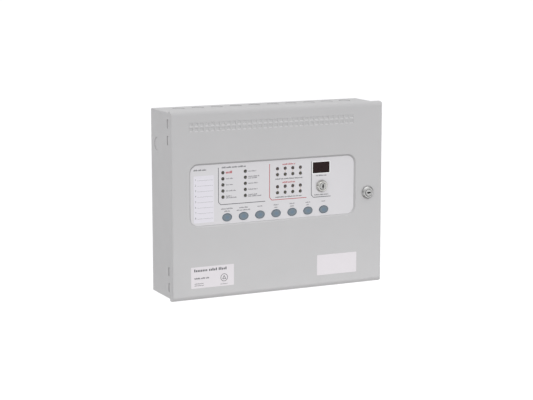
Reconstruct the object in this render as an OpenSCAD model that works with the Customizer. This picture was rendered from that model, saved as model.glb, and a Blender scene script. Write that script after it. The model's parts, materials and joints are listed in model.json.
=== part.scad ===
// Conventional eight-zone fire alarm control panel, surface mounted on a wall.
// Sheet steel back box with a hinged front door that carries the fascia, keys and key switch.
// Frame: origin on the wall at the middle of the back, +X right, +Y into the wall, +Z up. Millimetres.

/* [Enclosure] */
// width over the door
case_w = 385; // [370:1:400]
// height over the door
case_h = 310; // [300:1:325]
// depth from the wall to the door face
case_d = 90; // [86:1:110]
// thickness of the enclosure sheet
sheet_t = 1.2; // [1:0.1:1.5]
// how far the door's sides reach back over the box
lap_d = 11; // [9:0.5:14]
// gap between the door's left and right sides and the box
side_gap = 0.6; // [0.4:0.1:1]
// gap between the door's top and bottom and the box
end_gap = 1.6; // [1:0.1:2]
// rounding of the door's top and bottom front edges
roll_r = 9; // [6:0.5:9]
// rounding of the door's left and right front edges
fold_r = 3; // [2:0.5:5]
// rounding of the door's four corners seen from the front
corner_r = 2.5; // [2:0.5:6]
// rounding of the box's folded corners
box_r = 1.8; // [1.6:0.1:4]
// width of the turned-in lip round the box opening
lip_w = 12; // [8:1:14]

/* [Fascia] */
// depth of the pressed panel in the door
recess_d = 2.5; // [1.5:0.5:4]
// width of the sloping border of the pressed panel
recess_slope = 2.8; // [2:0.2:6]
// thickness of the printed overlay
overlay_t = 0.5; // [0.3:0.1:0.8]
// distance between the push buttons
button_pitch = 29.5; // [28:0.5:31]
// width of a push button
button_w = 17; // [15:0.5:18]
// height of a push button
button_h = 13; // [12:0.5:15]
// how far a push button stands out of the overlay
button_proud = 1; // [0.5:0.1:2]
// diameter of an indicator lamp
lamp_dia = 4.9; // [4.5:0.1:5]

/* [Locks] */
// diameter of the door lock's rim
lock_rim_dia = 22; // [20:0.5:24]
// diameter of the control key switch's rim
switch_rim_dia = 21; // [20:0.5:24]
// length of the door lock's cam from its axis
cam_len = 21.5; // [19:0.5:22]

/* [Hinges] */
// diameter of a hinge pin
pin_dia = 2.5; // [2:0.1:2.6]
// running clearance round a hinge pin
pin_gap = 0.05; // [0.03:0.01:0.08]

/* [Ventilation] */
// number of slots in a ventilation row
vent_count = 32; // [10:1:32]
// distance between the slots
vent_pitch = 9.4; // [9:0.1:9.4]

/* [Wall fixing] */
// diameter of a wall fixing hole
fix_dia = 6; // [5:0.5:8]
// distance across between the wall fixing holes
fix_x = 352; // [348:1:352]
// distance up and down between the wall fixing holes
fix_z = 260; // [240:2:270]

/* [Hidden] */
$fn = 48;
front_o = case_d;
inner_o = front_o - sheet_t;
lap_o = front_o - lap_d;
box_w = case_w - 2 * (sheet_t + side_gap);
box_h = case_h - 2 * (sheet_t + end_gap);
rim_o = front_o - 6;
wall_x = box_w / 2 - sheet_t;
wall_z = box_h / 2 - sheet_t;

hinge_x = -wall_x + 2.6;
hinge_o = lap_o - 5.2;
eye_r = 2.35;
pin_r = pin_dia / 2;
hinge_z = [120.25, -120.25];
lug_dz = 13.25;

recess_w = 304;
recess_h = 104.3;
recess_c = [-10, 16.65];
recess_r = 16;
floor_o = front_o - recess_d;
back_o = floor_o - sheet_t;
face_o = floor_o + overlay_t;

lamp_r = lamp_dia / 2;
status_x = [-102, -62];
status_z = [51.5, 41.5, 31.5, 21.5, 11.5];
zone_x = [-3.7, 10.4, 24.4, 38.5];
fire_z = [51.8, 21.8];
fault_z = [41.9, 11.8];
button_z = -22.3;
button_x = [for (i = [0:6]) -94.7 + button_pitch * i];
window_c = [77.45, 49.4];
window_s = [30.1, 17.8];
switch_c = [78.3, 17.5];
lock_c = [165, 1];
vent_z = [132.2, 123.8];

board_o = 76;
board_t = 1.6;
pillars = [[-125, 58], [-125, -24], [-20, 60], [-21, -2], [53, 60], [53, -2], [96, -6]];
header_x = -146;
header_z = 52;

plate_o = 9.2;
main_x = -52;
main_z = 64;
main_w = 220;
main_h = 132;
main_o = 20.8;
standoffs = [[-156, 6], [-46, 6], [52, 6], [-156, 102], [-46, 102], [52, 102]];
plate_studs = [[-160, -32], [160, -32], [-160, 134], [160, 134]];
block_n = 10;
block_pitch = 21.2;
ways = 4;
way_pitch = 5.08;
row_x = main_x - (block_n - 1) * block_pitch / 2;
row_z = 112;
supply_c = [-114, 0];
core_c = [122, 96];
chip_z = 18.5;

battery_w = 151;
battery_d = 65;
battery_h = 94;
battery_x = [-89.5, 65.5];
battery_o = 2.2;
battery_z = -wall_z;
battery_top = battery_z + battery_h;
tab_dx = 55;
tab_o = 54;
strap_o = battery_o + battery_d + 1;
strap_x = [-181, 158];
strap_z = -105;

earth_c = [-175, -46];
door_earth_c = [-150, -62];
barrel_dx = 6;

ribbon_route = [[-140, 66], [-151, 66], [-160, 66], [-174, 62], [-180, 52],
                [-178, 42], [-170, 35], [-162, 32.4], [-154, 32.4], [-144, 32.4]];
earth_route = [[-156, -62, 79.5], [-157, -61.5, 76.5], [-166, -57, 73], [-177, -53, 65],
               [-182, -50, 48], [-182, -48, 30], [-181, -46, 20], [-181, -46, 15]];
red_route = [[-144.5, -44, 54], [-145, -36, 53], [-142, -22, 46], [-130, -12, 36],
             [-120, -6, 29], [-116.5, 0, 27.2]];
black_route = [[120.5, -44, 54], [119, -36, 54], [105, -28, 52], [70, -24, 46],
               [10, -22, 40], [-60, -20, 36], [-100, -14, 31], [-111.5, -6, 28], [-111.5, 0, 27.2]];
link_route = [[-34.5, -44, 54], [-33, -35, 54], [-22, -29, 54], [-2, -29, 54], [9, -35, 54], [10.5, -44, 54]];

// ---- shared shapes ----

// Inside, x runs right, y runs up and z stands for the distance out from the wall.
module front() rotate([90, 0, 0]) children();

// Block with rounded corners seen from the front; the child is its edge, drawn out from the corner centres.
module rim_block(w, h, r, z0, z1) {
    dx = w / 2 - r;
    dy = h / 2 - r;
    translate([-dx, -dy, z0]) cube([2 * dx, 2 * dy, z1 - z0]);
    for (s = [0, 180]) {
        rotate([0, 0, s]) translate([dx, dy, 0]) rotate([90, 0, 0]) linear_extrude(2 * dy) children();
        rotate([0, 0, s]) translate([-dx, dy, 0]) rotate([90, 0, 90]) linear_extrude(2 * dx) children();
        rotate([0, 0, s]) translate([dx, dy, 0]) rotate_extrude(angle = 90) children();
        rotate([0, 0, s]) translate([-dx, dy, 0]) rotate([0, 0, 90]) rotate_extrude(angle = 90) children();
    }
}

module rounded_block(w, h, r, z0, z1) {
    rim_block(w, h, r, z0, z1) translate([0, z0]) square([r, z1 - z0]);
}

// Long-round shape; the child is its edge, drawn outwards from the spine of length run.
module capsule(run) {
    for (s = [0, 180]) rotate([0, 0, s]) {
        translate([-run / 2, 0, 0]) rotate([90, 0, 90]) linear_extrude(run) children();
        translate([run / 2, 0, 0]) rotate([0, 0, -90]) rotate_extrude(angle = 180) children();
    }
}

module long_hole(w, h, z0, z1) {
    capsule(w - h) translate([0, z0]) square([h / 2, z1 - z0]);
}

// A turned profile of radius h / 2, stretched sideways to the width w.
module oval(w, h) scale([w / h, 1, 1]) rotate_extrude() children();

module at(c, z = 0) translate([c[0], c[1], z]) children();

module hex_nut(af, bore_r, z0, z1) {
    difference() {
        translate([0, 0, z0]) cylinder(h = z1 - z0, r = af / sqrt(3), $fn = 6);
        translate([0, 0, z0 - 1]) cylinder(h = z1 - z0 + 2, r = bore_r);
    }
}

module disc(r, z0, z1) translate([0, 0, z0]) cylinder(h = z1 - z0, r = r);

module block(x0, x1, y0, y1, z0, z1) translate([x0, y0, z0]) cube([x1 - x0, y1 - y0, z1 - z0]);

function unit(v) = v / norm(v);
function smooth(p, i, t) = let (a = p[max(i - 1, 0)], b = p[i], c = p[i + 1], d = p[min(i + 2, len(p) - 1)])
    0.5 * (2 * b + (c - a) * t + (2 * a - 5 * b + 4 * c - d) * t * t + (3 * b - a - 3 * c + d) * t * t * t);
function route(p, n) = concat([for (i = [0:len(p) - 2], j = [0:n - 1]) smooth(p, i, j / n)], [p[len(p) - 1]]);
function along(q, i) = unit(q[min(i + 1, len(q) - 1)] - q[max(i - 1, 0)]);

// Round lead swept along a route; ref is a direction the route never runs along.
module lead(points, r, ref, sides = 10, n = 5) {
    q = route(points, n);
    m = len(q);
    ring = [for (i = [0:m - 1]) let (t = along(q, i), u = unit(cross(ref, t)), v = cross(t, u))
            for (k = [0:sides - 1]) q[i] + r * (cos(360 * k / sides) * u + sin(360 * k / sides) * v)];
    wall = [for (i = [0:m - 2], k = [0:sides - 1])
            [i * sides + k, (i + 1) * sides + k, (i + 1) * sides + (k + 1) % sides,
             i * sides + (k + 1) % sides]];
    first = [for (k = [0:sides - 1]) k];
    last = [for (k = [1:sides]) m * sides - k];
    polyhedron(points = ring, faces = concat(wall, [first, last]), convexity = 6);
}

// Flat strip whose edge follows a route in the x and outward directions.
module strip(points, t, w, n = 5) {
    q = route(points, n);
    m = len(q);
    side = [for (s = [-1, 1]) [for (i = [0:m - 1]) let (d = along(q, i)) q[i] + s * t / 2 * [-d[1], d[0]]]];
    rotate([90, 0, 0]) linear_extrude(w, center = true)
        polygon(concat(side[0], [for (i = [0:m - 1]) side[1][m - 1 - i]]));
}

// ---- back box ----

// Pressed-back disc with a deeper groove round it, which two ties cross.
module knockout(r, turn) {
    translate([0, 0, -0.7]) cylinder(h = 2, r = r + 0.25);
    difference() {
        translate([0, 0, -0.9]) cylinder(h = 1, r = r + 0.25);
        translate([0, 0, -1]) cylinder(h = 3, r = r - 0.75);
        rotate([0, 0, turn]) translate([-r - 1, -1.5, -1]) cube([2 * r + 2, 3, 3]);
    }
}

module back_box() color([0.74, 0.74, 0.75]) front() difference() {
    rounded_block(box_w, box_h, box_r, 0, rim_o);
    rounded_block(2 * wall_x, 2 * wall_z, box_r - sheet_t, sheet_t, rim_o - sheet_t);
    block(-wall_x, wall_x + sheet_t - lip_w, lip_w - box_h / 2, box_h / 2 - lip_w, rim_o - 5, rim_o + 1);
    for (z = hinge_z, s = [-1, 1])
        block(-wall_x - 3, -wall_x + 1, z + s * lug_dz - 7, z + s * lug_dz + 7, hinge_o - 4.8, hinge_o + 6.4);
    for (x = [-fix_x / 2, fix_x / 2], z = [-fix_z / 2, fix_z / 2])
        at([x, z]) disc(fix_dia / 2, -1, sheet_t + 1);
    for (i = [0:9])
        translate([34 * (i - 4.5), box_h / 2, 27]) rotate([-90, 0, 0]) knockout(10, 90 * (i % 2));
    translate([-box_w / 2, 96.4, 24]) rotate([0, -90, 0]) knockout(10.5, 0);
}

module hinge_brackets() color([0.74, 0.74, 0.75]) front() for (z = hinge_z) difference() {
    union() {
        block(-wall_x, -wall_x + 1.2, z - 5.75, z + 5.75, hinge_o - 24, hinge_o);
        translate([hinge_x, z + 5.75, hinge_o]) rotate([90, 0, 0]) cylinder(h = 11.5, r = eye_r);
    }
    translate([hinge_x, z + 10, hinge_o]) rotate([90, 0, 0]) cylinder(h = 20, r = pin_r);
}

module hinge_pins() color([0.7, 0.7, 0.72]) front() for (z = hinge_z)
    translate([hinge_x, z + 19.75, hinge_o]) rotate([90, 0, 0]) cylinder(h = 39.5, r = pin_r);

module lock_strike() color([0.8, 0.8, 0.82]) front() {
    block(wall_x - 1.5, wall_x, -12, 12, 72.2, 82);
    block(178, wall_x - 1.5, -12, 12, 72.2, 74);
}

// Ring tag on a stud; its crimped barrel stands beside the nut.
module ring_tag(o, barrel_o, barrel_end) {
    difference() {
        union() {
            disc(4, o, o + 0.8);
            block(-barrel_dx, 0, -1.8, 1.8, o, o + 0.8);
        }
        disc(2, o - 1, o + 2);
    }
    at([-barrel_dx, 0]) disc(1.9, barrel_o, barrel_end);
}

module earth_stud() color([0.82, 0.66, 0.3]) front() at(earth_c) {
    disc(2, sheet_t, 16);
    hex_nut(7, 2, sheet_t, 4.4);
    hex_nut(7, 2, 10.8, 14);
    ring_tag(10, 10, 14.9);
}

// ---- chassis and boards in the box ----

module chassis_plate() color([0.78, 0.78, 0.74]) front() difference() {
    union() {
        block(-168, 168, -40, 142, plate_o - 1.2, plate_o);
        block(-168, 168, -40, -38.8, plate_o, plate_o + 8);
        block(-168, 168, 140.8, 142, plate_o, plate_o + 8);
    }
    for (p = plate_studs) at(p) disc(2, 0, 20);
    for (p = standoffs) at(p) disc(1.5, 0, 12);
    for (s = [-1, 1]) at([core_c[0] + 40 * s, core_c[1]]) disc(2, 0, 20);
}

// Weld studs and nuts that hold the chassis, the transformer and the battery strap.
module chassis_fixings() color([0.8, 0.8, 0.8]) front() {
    for (p = plate_studs) at(p) {
        disc(4, sheet_t, plate_o - 1.2);
        disc(2, plate_o - 1.2, plate_o + 6);
        hex_nut(7, 2, plate_o, plate_o + 3.2);
    }
    for (s = [-1, 1]) at([core_c[0] + 40 * s, core_c[1]]) {
        disc(2, sheet_t, plate_o + 7);
        disc(3.5, sheet_t, plate_o - 1.2);
        hex_nut(7, 2, plate_o + 1.6, plate_o + 4.8);
    }
    for (x = [strap_x[0] + 8.5, strap_x[1] - 7]) at([x, strap_z]) {
        disc(2, sheet_t, 9);
        hex_nut(7, 2, sheet_t + 1.5, sheet_t + 4.7);
    }
}

module main_board() color([0.1, 0.36, 0.2]) front() difference() {
    block(main_x - main_w / 2, main_x + main_w / 2, main_z - main_h / 2, main_z + main_h / 2,
          main_o - 1.6, main_o);
    for (p = standoffs) at(p) disc(1.7, main_o - 3, main_o + 3);
}

module board_standoffs() color([0.8, 0.66, 0.35]) front() for (p = standoffs) at(p) difference() {
    union() {
        translate([0, 0, plate_o]) cylinder(h = main_o - 1.6 - plate_o, r = 3.2, $fn = 6);
        disc(1.5, plate_o - 1.2, plate_o + 1);
    }
    disc(1.45, plate_o + 2, main_o);
}

module board_screws() color([0.78, 0.78, 0.8]) front() for (p = standoffs) at(p) difference() {
    union() {
        disc(1.45, plate_o + 4, main_o + 1);
        disc(2.8, main_o, main_o + 1.9);
    }
    block(-3.2, 3.2, -0.4, 0.4, main_o + 1, main_o + 3);
    block(-0.4, 0.4, -3.2, 3.2, main_o + 1, main_o + 3);
}

// Terminal block with its wire holes facing up and its screws facing out.
module terminal(n) {
    w = n * way_pitch;
    difference() {
        rotate([90, 0, 90]) linear_extrude(w, center = true)
            polygon([[0, 0], [0, 9], [2, 12.4], [9, 12.4], [13, 9.5], [13, 0]]);
        for (i = [0:n - 1]) translate([(i - (n - 1) / 2) * way_pitch, 0, 0]) {
            translate([0, 14, 5.6]) rotate([90, 0, 0]) cylinder(h = 9, r = 1.9);
            translate([0, 5.4, 9.4]) cylinder(h = 4, r = 2);
        }
    }
}

module field_terminals() color([0.1, 0.45, 0.25]) front() {
    for (i = [0:block_n - 1]) translate([row_x + i * block_pitch, row_z, main_o]) terminal(ways);
    translate([supply_c[0], supply_c[1] + 13, main_o]) rotate([0, 0, 180]) terminal(2);
}

module slot_screw() difference() {
    cylinder(h = 1.6, r = 1.9);
    translate([-2.5, -0.35, 0.8]) cube([5, 0.7, 2]);
}

module terminal_screws() color([0.8, 0.8, 0.78]) front() {
    for (i = [0:block_n - 1], j = [0:ways - 1])
        translate([row_x + i * block_pitch + (j - (ways - 1) / 2) * way_pitch, row_z + 5.4, main_o + 9.4])
            slot_screw();
    for (j = [-0.5, 0.5])
        translate([supply_c[0] + j * way_pitch, supply_c[1] + 7.6, main_o + 9.4]) slot_screw();
}

module mains_terminal_block() color([0.9, 0.89, 0.84]) front() difference() {
    union() {
        block(150, 166, 4, 46, plate_o, plate_o + 7);
        for (i = [0:2]) block(151, 165, 5.5 + 13.5 * i, 17.5 + 13.5 * i, plate_o + 7, plate_o + 17);
    }
    for (i = [0:2]) at([158, 11.5 + 13.5 * i]) disc(2.6, plate_o + 11, plate_o + 20);
    for (i = [0:2]) translate([148, 11.5 + 13.5 * i, plate_o + 9]) rotate([0, 90, 0])
        cylinder(h = 6, r = 1.8);
}

module transformer_core() color([0.3, 0.3, 0.32]) front() translate([core_c[0], core_c[1], plate_o + 1.6]) {
    difference() {
        block(-33, 33, -16.5, 16.5, 0, 50);
        for (s = [-1, 1]) block(s * 16.5 - 5.5, s * 16.5 + 5.5, -20, 20, 8, 42);
    }
    difference() {
        block(-46, 46, -12, 12, -1.6, 0);
        for (s = [-1, 1]) at([40 * s, 0]) disc(2.1, -5, 5);
    }
}

module transformer_coil() color([0.75, 0.6, 0.3]) front() translate([core_c[0], core_c[1], plate_o + 1.6])
    difference() {
        rounded_block(43, 56, 4, 8.5, 41.5);
        block(-11, 11, -16.5, 16.5, 0, 50);
    }

module heatsink() color([0.7, 0.71, 0.73]) front() translate([36, 24, main_o]) {
    block(-14, 14, 0, 40, 0, 3);
    for (i = [-3:3]) block(i * 4.4 - 0.6, i * 4.4 + 0.6, 0, 40, 3, 24);
}

module can(r, h) difference() {
    union() {
        cylinder(h = h - 0.6, r = r);
        translate([0, 0, h - 0.6]) cylinder(h = 0.6, r1 = r, r2 = r - 0.6);
    }
    translate([0, 0, 1.6]) difference() {
        cylinder(h = 1, r = r + 1);
        cylinder(h = 1, r = r - 0.35);
    }
}

module capacitors() color([0.13, 0.15, 0.25]) front() {
    for (x = [-8, 10]) translate([x, 74, main_o]) can(8, 26);
    for (x = [-100, -84, -68]) translate([x, 92, main_o]) can(4, 11);
    for (z = [26, 38]) translate([-20, z, main_o]) can(5, 13);
}

module relays() color([0.92, 0.92, 0.9]) front() for (i = [0:3])
    translate([-132 + 22 * i, 70, main_o]) difference() {
        rounded_block(19, 15, 1, 0, 15);
        at([-7, 5]) disc(0.8, 14.2, 16);
    }

module chips() color([0.1, 0.1, 0.11]) front() {
    translate([-96, 34, main_o]) difference() {
        rounded_block(50, 13.8, 0.4, 0.6, 4.6);
        at([-25, 0]) disc(1.6, 4, 6);
    }
    for (i = [0:2]) translate([-118 + 24 * i, chip_z, main_o]) difference() {
        rounded_block(20, 6.6, 0.4, 0.6, 4.2);
        at([-10, 0]) disc(1.2, 3.6, 6);
    }
    for (i = [0:2]) translate([-52, 26 + 16 * i, main_o]) rounded_block(9, 10, 0.4, 0.1, 2.2);
    translate([-96, 34, main_o]) block(-24, 24, -6, 6, 0, 0.6);
    for (i = [0:2]) translate([-118 + 24 * i, chip_z, main_o]) block(-9, 9, -3, 3, 0, 0.6);
    for (i = [0:2]) translate([-52, 26 + 16 * i, main_o]) block(-4, 4, -4.5, 4.5, 0, 0.1);
}

module buzzer() color([0.1, 0.1, 0.1]) front() translate([0, 22, main_o]) difference() {
    union() {
        disc(12, 0, 9);
        translate([0, 0, 9]) cylinder(h = 1, r1 = 12, r2 = 11);
    }
    disc(1.5, 6, 11);
}

module main_header() color([0.16, 0.16, 0.17]) front() translate([-149, header_z, main_o]) {
    block(-4.5, 4.5, -16.5, 16.5, 0, 8.9);
    block(-3, 3, -14, 14, 8.9, 11.1);
}

// ---- batteries ----

module battery(x) front() translate([x, battery_z, battery_o]) difference() {
    translate([0, 0, battery_d / 2]) rotate([-90, 0, 0])
        rounded_block(battery_w, battery_d, 2, 0, battery_h);
    for (s = [-1, 1], k = [0:1]) translate([s * (battery_w / 2 - 0.3 + 0.5), battery_h - 12, battery_d / 2])
        cube([1, 1, battery_d + 2], center = true);
    block(-battery_w / 2 - 1, battery_w / 2 + 1, battery_h - 12.5, battery_h - 11.5,
          battery_d - 0.3, battery_d + 1);
    block(-battery_w / 2 - 1, battery_w / 2 + 1, battery_h - 12.5, battery_h - 11.5, -1, 0.3);
    for (s = [-1, 1]) block(s * tab_dx - 9, s * tab_dx + 9, battery_h - 3, battery_h + 1,
                            tab_o - battery_o - 8, tab_o - battery_o + 8);
}

module battery_left() color([0.16, 0.16, 0.17]) battery(battery_x[0]);

module battery_right() color([0.16, 0.16, 0.17]) battery(battery_x[1]);

module battery_terminals() color([0.8, 0.8, 0.76]) front()
    for (x = battery_x, s = [-1, 1]) translate([x + s * tab_dx, battery_top - 3, tab_o]) {
        block(-2.4, 2.4, 0, 8, -0.4, 0.4);
        block(-3.5, 3.5, 0, 0.8, -3, 3);
    }

module boot(x) translate([x, battery_top, tab_o]) difference() {
    block(-3.6, 3.6, -1, 14, -2, 2);
    block(-2.5, 2.5, -2, 6, -0.5, 0.5);
}

module battery_lead_red() color([0.75, 0.08, 0.07]) front() {
    lead(red_route, 1.3, [0, 0, 1]);
    boot(battery_x[0] - tab_dx);
}

module battery_lead_black() color([0.08, 0.08, 0.08]) front() {
    lead(black_route, 1.3, [0, 0, 1]);
    lead(link_route, 1.3, [0, 0, 1]);
    boot(battery_x[0] + tab_dx);
    boot(battery_x[1] - tab_dx);
    boot(battery_x[1] + tab_dx);
}

module battery_strap() color([0.8, 0.8, 0.78]) front() difference() {
    union() {
        block(strap_x[0], strap_x[1], strap_z - 8, strap_z + 8, strap_o, strap_o + 1.5);
        block(strap_x[0], strap_x[0] + 1.5, strap_z - 8, strap_z + 8, sheet_t, strap_o);
        block(strap_x[1] - 1.5, strap_x[1], strap_z - 8, strap_z + 8, sheet_t, strap_o);
        block(strap_x[0], strap_x[0] + 14, strap_z - 8, strap_z + 8, sheet_t, sheet_t + 1.5);
        block(strap_x[1] - 14, strap_x[1], strap_z - 8, strap_z + 8, sheet_t, sheet_t + 1.5);
    }
    for (x = [strap_x[0] + 8.5, strap_x[1] - 7]) at([x, strap_z]) disc(2.1, 0, 10);
}

// ---- leads across the hinge ----

module ribbon_cable() color([0.72, 0.73, 0.74]) front()
    translate([0, header_z, 0]) strip(ribbon_route, 0.9, 25.4);

module door_earth_lead() color([0.55, 0.68, 0.12]) front() {
    lead(earth_route, 1.4, [1, 0, 0]);
}

// ---- door ----

// Outline of width w from y0 to y1 with its two far corners rounded.
module round_front(w, y0, y1, r) {
    translate([-w / 2, y0]) square([w, y1 - r - y0]);
    translate([r - w / 2, y1 - r]) square([w - 2 * r, r]);
    for (m = [0, 1]) mirror([m, 0]) translate([w / 2 - r, y1 - r]) intersection() {
        circle(r = r);
        square([r, r]);
    }
}

// Solid with rounded corners whose front rolls over at its top and bottom, and a little at its sides.
module door_blank(w, h, z0, z1, end_r, side_r, corner_r) intersection() {
    rounded_block(w, h, corner_r, z0, z1);
    translate([-w / 2, 0, 0]) rotate([90, 0, 90]) linear_extrude(w) round_front(h, z0, z1, end_r);
    translate([0, h / 2, 0]) rotate([90, 0, 0]) linear_extrude(h) round_front(w, z0, z1, side_r);
}

// Pressed louvre: a shallow dish with sloping edges, and a fine slit that rises behind the upper edge.
module vent_cut(x, z) translate([x - 3, z, front_o]) rotate([90, 0, 90]) linear_extrude(6)
    polygon([[-3.5, 0.4], [-3.5, 0], [-1.7, -0.95], [2.1, -0.6], [2.5, -2], [2.75, -2], [2.4, -0.45],
             [3.3, 0], [3.3, 0.4]]);

module fascia_holes(z0, z1) {
    for (x = status_x, z = status_z) at([x, z]) disc(lamp_r + 0.1, z0, z1);
    for (x = zone_x, z = concat(fire_z, fault_z)) at([x, z]) disc(lamp_r + 0.1, z0, z1);
    for (x = button_x) at([x, button_z]) oval(button_w + 0.6, button_h + 0.6)
        translate([0, z0]) square([button_h / 2 + 0.3, z1 - z0]);
    block(window_c[0] - window_s[0] / 2, window_c[0] + window_s[0] / 2,
          window_c[1] - window_s[1] / 2, window_c[1] + window_s[1] / 2, z0, z1);
    at(switch_c) disc(9.1, z0, z1);
}

module door_panel() color([0.76, 0.76, 0.77]) front() difference() {
    union() {
        difference() {
            door_blank(case_w, case_h, lap_o, front_o, roll_r, fold_r, corner_r);
            door_blank(case_w - 2 * sheet_t, case_h - 2 * sheet_t, lap_o - 1, inner_o,
                       roll_r - sheet_t, fold_r - sheet_t, corner_r - sheet_t);
        }
        translate([recess_c[0], recess_c[1], 0])
            rim_block(recess_w + 0.62, recess_h + 0.62, recess_r + 0.31, back_o, front_o - 0.4)
                polygon([[0, back_o], [recess_r - recess_slope + 0.31, back_o], [recess_r + 0.31, inner_o],
                         [recess_r + 0.31, front_o - 0.4], [0, front_o - 0.4]]);
    }
    translate([recess_c[0], recess_c[1], 0])
        rim_block(recess_w, recess_h, recess_r, floor_o, front_o + 1)
            polygon([[0, floor_o], [recess_r - recess_slope, floor_o], [recess_r, front_o],
                     [recess_r, front_o + 1], [0, front_o + 1]]);
    fascia_holes(back_o - 1, floor_o + 1);
    at(lock_c) disc(9.6, inner_o - 1, front_o + 1);
    for (i = [0:vent_count - 1], z = vent_z) vent_cut(vent_pitch * (i - (vent_count - 1) / 2) - 12.3, z);
}

// Welded to the back edge of the door's left side: a leaf fills the box's slot and carries the pin's eye.
module hinge_lug(z) translate([hinge_x, z + 6.25, hinge_o]) rotate([90, 0, 0])
linear_extrude(12.5) difference() {
    union() {
        polygon([[-5.6, 4.6], [-5.6, 5.2], [-4.4, 5.2], [-4.4, 5.8], [-2.5, 5.8], [-2.5, 1.1], [-1.6, 1.1],
                 [-1.6, -1.1], [-2.5, -1.1], [-2.5, -2.4], [-3.7, -2.4], [-3.7, 4.6]]);
        circle(r = eye_r);
    }
    circle(r = pin_r + pin_gap);
}

module door_hinge_lugs() color([0.76, 0.76, 0.77]) front()
    for (z = hinge_z, s = [-1, 1]) hinge_lug(z + s * lug_dz);

module fascia_overlay() color([0.85, 0.85, 0.86]) front() difference() {
    translate([recess_c[0], recess_c[1], 0])
        rounded_block(recess_w - 2 * recess_slope, recess_h - 2 * recess_slope, recess_r - recess_slope,
                      floor_o, face_o);
    fascia_holes(floor_o - 1, face_o + 1);
}

module zone_chart_card() color([0.91, 0.9, 0.93]) front() at([-135.8, 10.35])
    rounded_block(35.2, 76.7, 1.5, face_o, face_o + 0.25);

module door_labels() color([0.91, 0.9, 0.91]) front() {
    at([-122, -117.5]) rounded_block(76, 35, 1, front_o, front_o + 0.15);
    at([106.9, -116.75]) rounded_block(75.2, 34.5, 1, front_o, front_o + 0.15);
}

module lamp() {
    translate([0, 0, 86.4]) intersection() {
        sphere(r = lamp_r);
        cylinder(h = 5, r = 5);
    }
    disc(lamp_r, 79.6, 86.4);
    disc(lamp_r + 0.35, 79.6, 80.6);
    for (s = [-1.27, 1.27]) translate([s, 0, 0]) disc(0.3, board_o, 79.6);
}

module status_lamps() color([0.2, 0.2, 0.18]) front() for (x = status_x, z = status_z) at([x, z]) lamp();

module zone_fire_lamps() color([0.25, 0.12, 0.12]) front() for (x = zone_x, z = fire_z) at([x, z]) lamp();

module zone_fault_lamps() color([0.25, 0.22, 0.12]) front() for (x = zone_x, z = fault_z) at([x, z]) lamp();

module display_window() color([0.16, 0.08, 0.07]) front() at(window_c) {
    rounded_block(window_s[0], window_s[1], 0.5, back_o, face_o + 0.15);
    rounded_block(window_s[0] + 5, window_s[1] + 5, 1, back_o - 1.2, back_o);
}

module seven_segment_display() color([0.85, 0.85, 0.85]) front() at(window_c)
    rounded_block(25, 15, 0.4, board_o, 84.4);

module display_board() color([0.1, 0.36, 0.2]) front() difference() {
    block(-152, 101, -33, 66, board_o - board_t, board_o);
    at(switch_c) disc(15.5, board_o - 5, board_o + 5);
    for (p = pillars) at(p) disc(1.55, board_o - 5, board_o + 5);
}

module display_board_fixings() color([0.8, 0.8, 0.8]) front() for (p = pillars) at(p) {
    disc(3, board_o, back_o);
    disc(1.5, board_o - 6, board_o);
    hex_nut(5.5, 1.5, board_o - board_t - 2.4, board_o - board_t);
}

module tact_switches() color([0.12, 0.12, 0.12]) front() for (x = button_x) at([x, button_z]) difference() {
    rounded_block(6.4, 6.4, 0.5, board_o, 80);
    disc(1.9, 78, 81);
}

module display_header() color([0.16, 0.16, 0.17]) front() translate([header_x, header_z, 0]) {
    block(-4.5, 4.5, -16.5, 16.5, 66.5 + 2.2, board_o - board_t);
    block(-3, 3, -14, 14, 66.5, 66.5 + 2.2);
}

module door_earth_stud() color([0.82, 0.66, 0.3]) front() at(door_earth_c) {
    disc(2, 81, inner_o);
    hex_nut(7, 2, 84.6, 87.6);
    ring_tag(83.8, 79.6, 84.6);
}

// ---- push buttons ----

module button(i) color([0.42, 0.52, 0.6]) front() at([button_x[i], button_z]) {
    r = button_h / 2;
    top = face_o + button_proud;
    oval(button_w, button_h)
        polygon([[0, back_o - 0.1], [r, back_o - 0.1], [r, top - 0.75], [r - 0.15, top - 0.5],
                 [r - 0.5, top - 0.35], [r - 1.8, top - 0.35], [r - 2.1, top - 0.28], [r - 2.5, top - 0.05],
                 [r - 2.8, top], [0, top]]);
    long_hole(button_w + 3.5, button_h + 3.5, back_o - 1.4, back_o - 0.1);
    disc(1.7, 79, back_o - 1.4);
}

module silence_alarm_button() button(0);
module mute_buzzer_button() button(1);
module reset_button() button(2);
module lamp_test_button() button(3);
module select_zone_button() button(4);
module menu_step_button() button(5);
module enter_button() button(6);

// ---- control key switch ----

module barrel(seat, rim_r, nose_r, nose_o, barrel_r, tail_o, bore_r, bore_o) difference() {
    union() {
        disc(rim_r, seat, seat + 1.2);
        translate([0, 0, seat + 1.2]) cylinder(h = nose_o - seat - 1.2, r1 = rim_r, r2 = nose_r);
        disc(barrel_r, tail_o, seat);
    }
    disc(bore_r, bore_o, nose_o + 1);
    translate([0, 0, nose_o - 0.8]) cylinder(h = 0.9, r1 = bore_r, r2 = bore_r + 1);
}

module keyswitch_body() color([0.8, 0.8, 0.82]) front() at(switch_c)
    barrel(face_o, switch_rim_dia / 2, 8.2, 93, 9, 66, 5.65, 69);

module keyswitch_nut() color([0.78, 0.78, 0.78]) front() at(switch_c) hex_nut(24, 9, back_o - 3, back_o);

module keyswitch_contact_block() color([0.14, 0.14, 0.15]) front() at(switch_c) {
    rounded_block(20, 20, 1.5, 56, 66);
    for (s = [-1, 1]) block(s * 6 - 2.4, s * 6 + 2.4, -0.4, 0.4, 50, 56);
}

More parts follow.
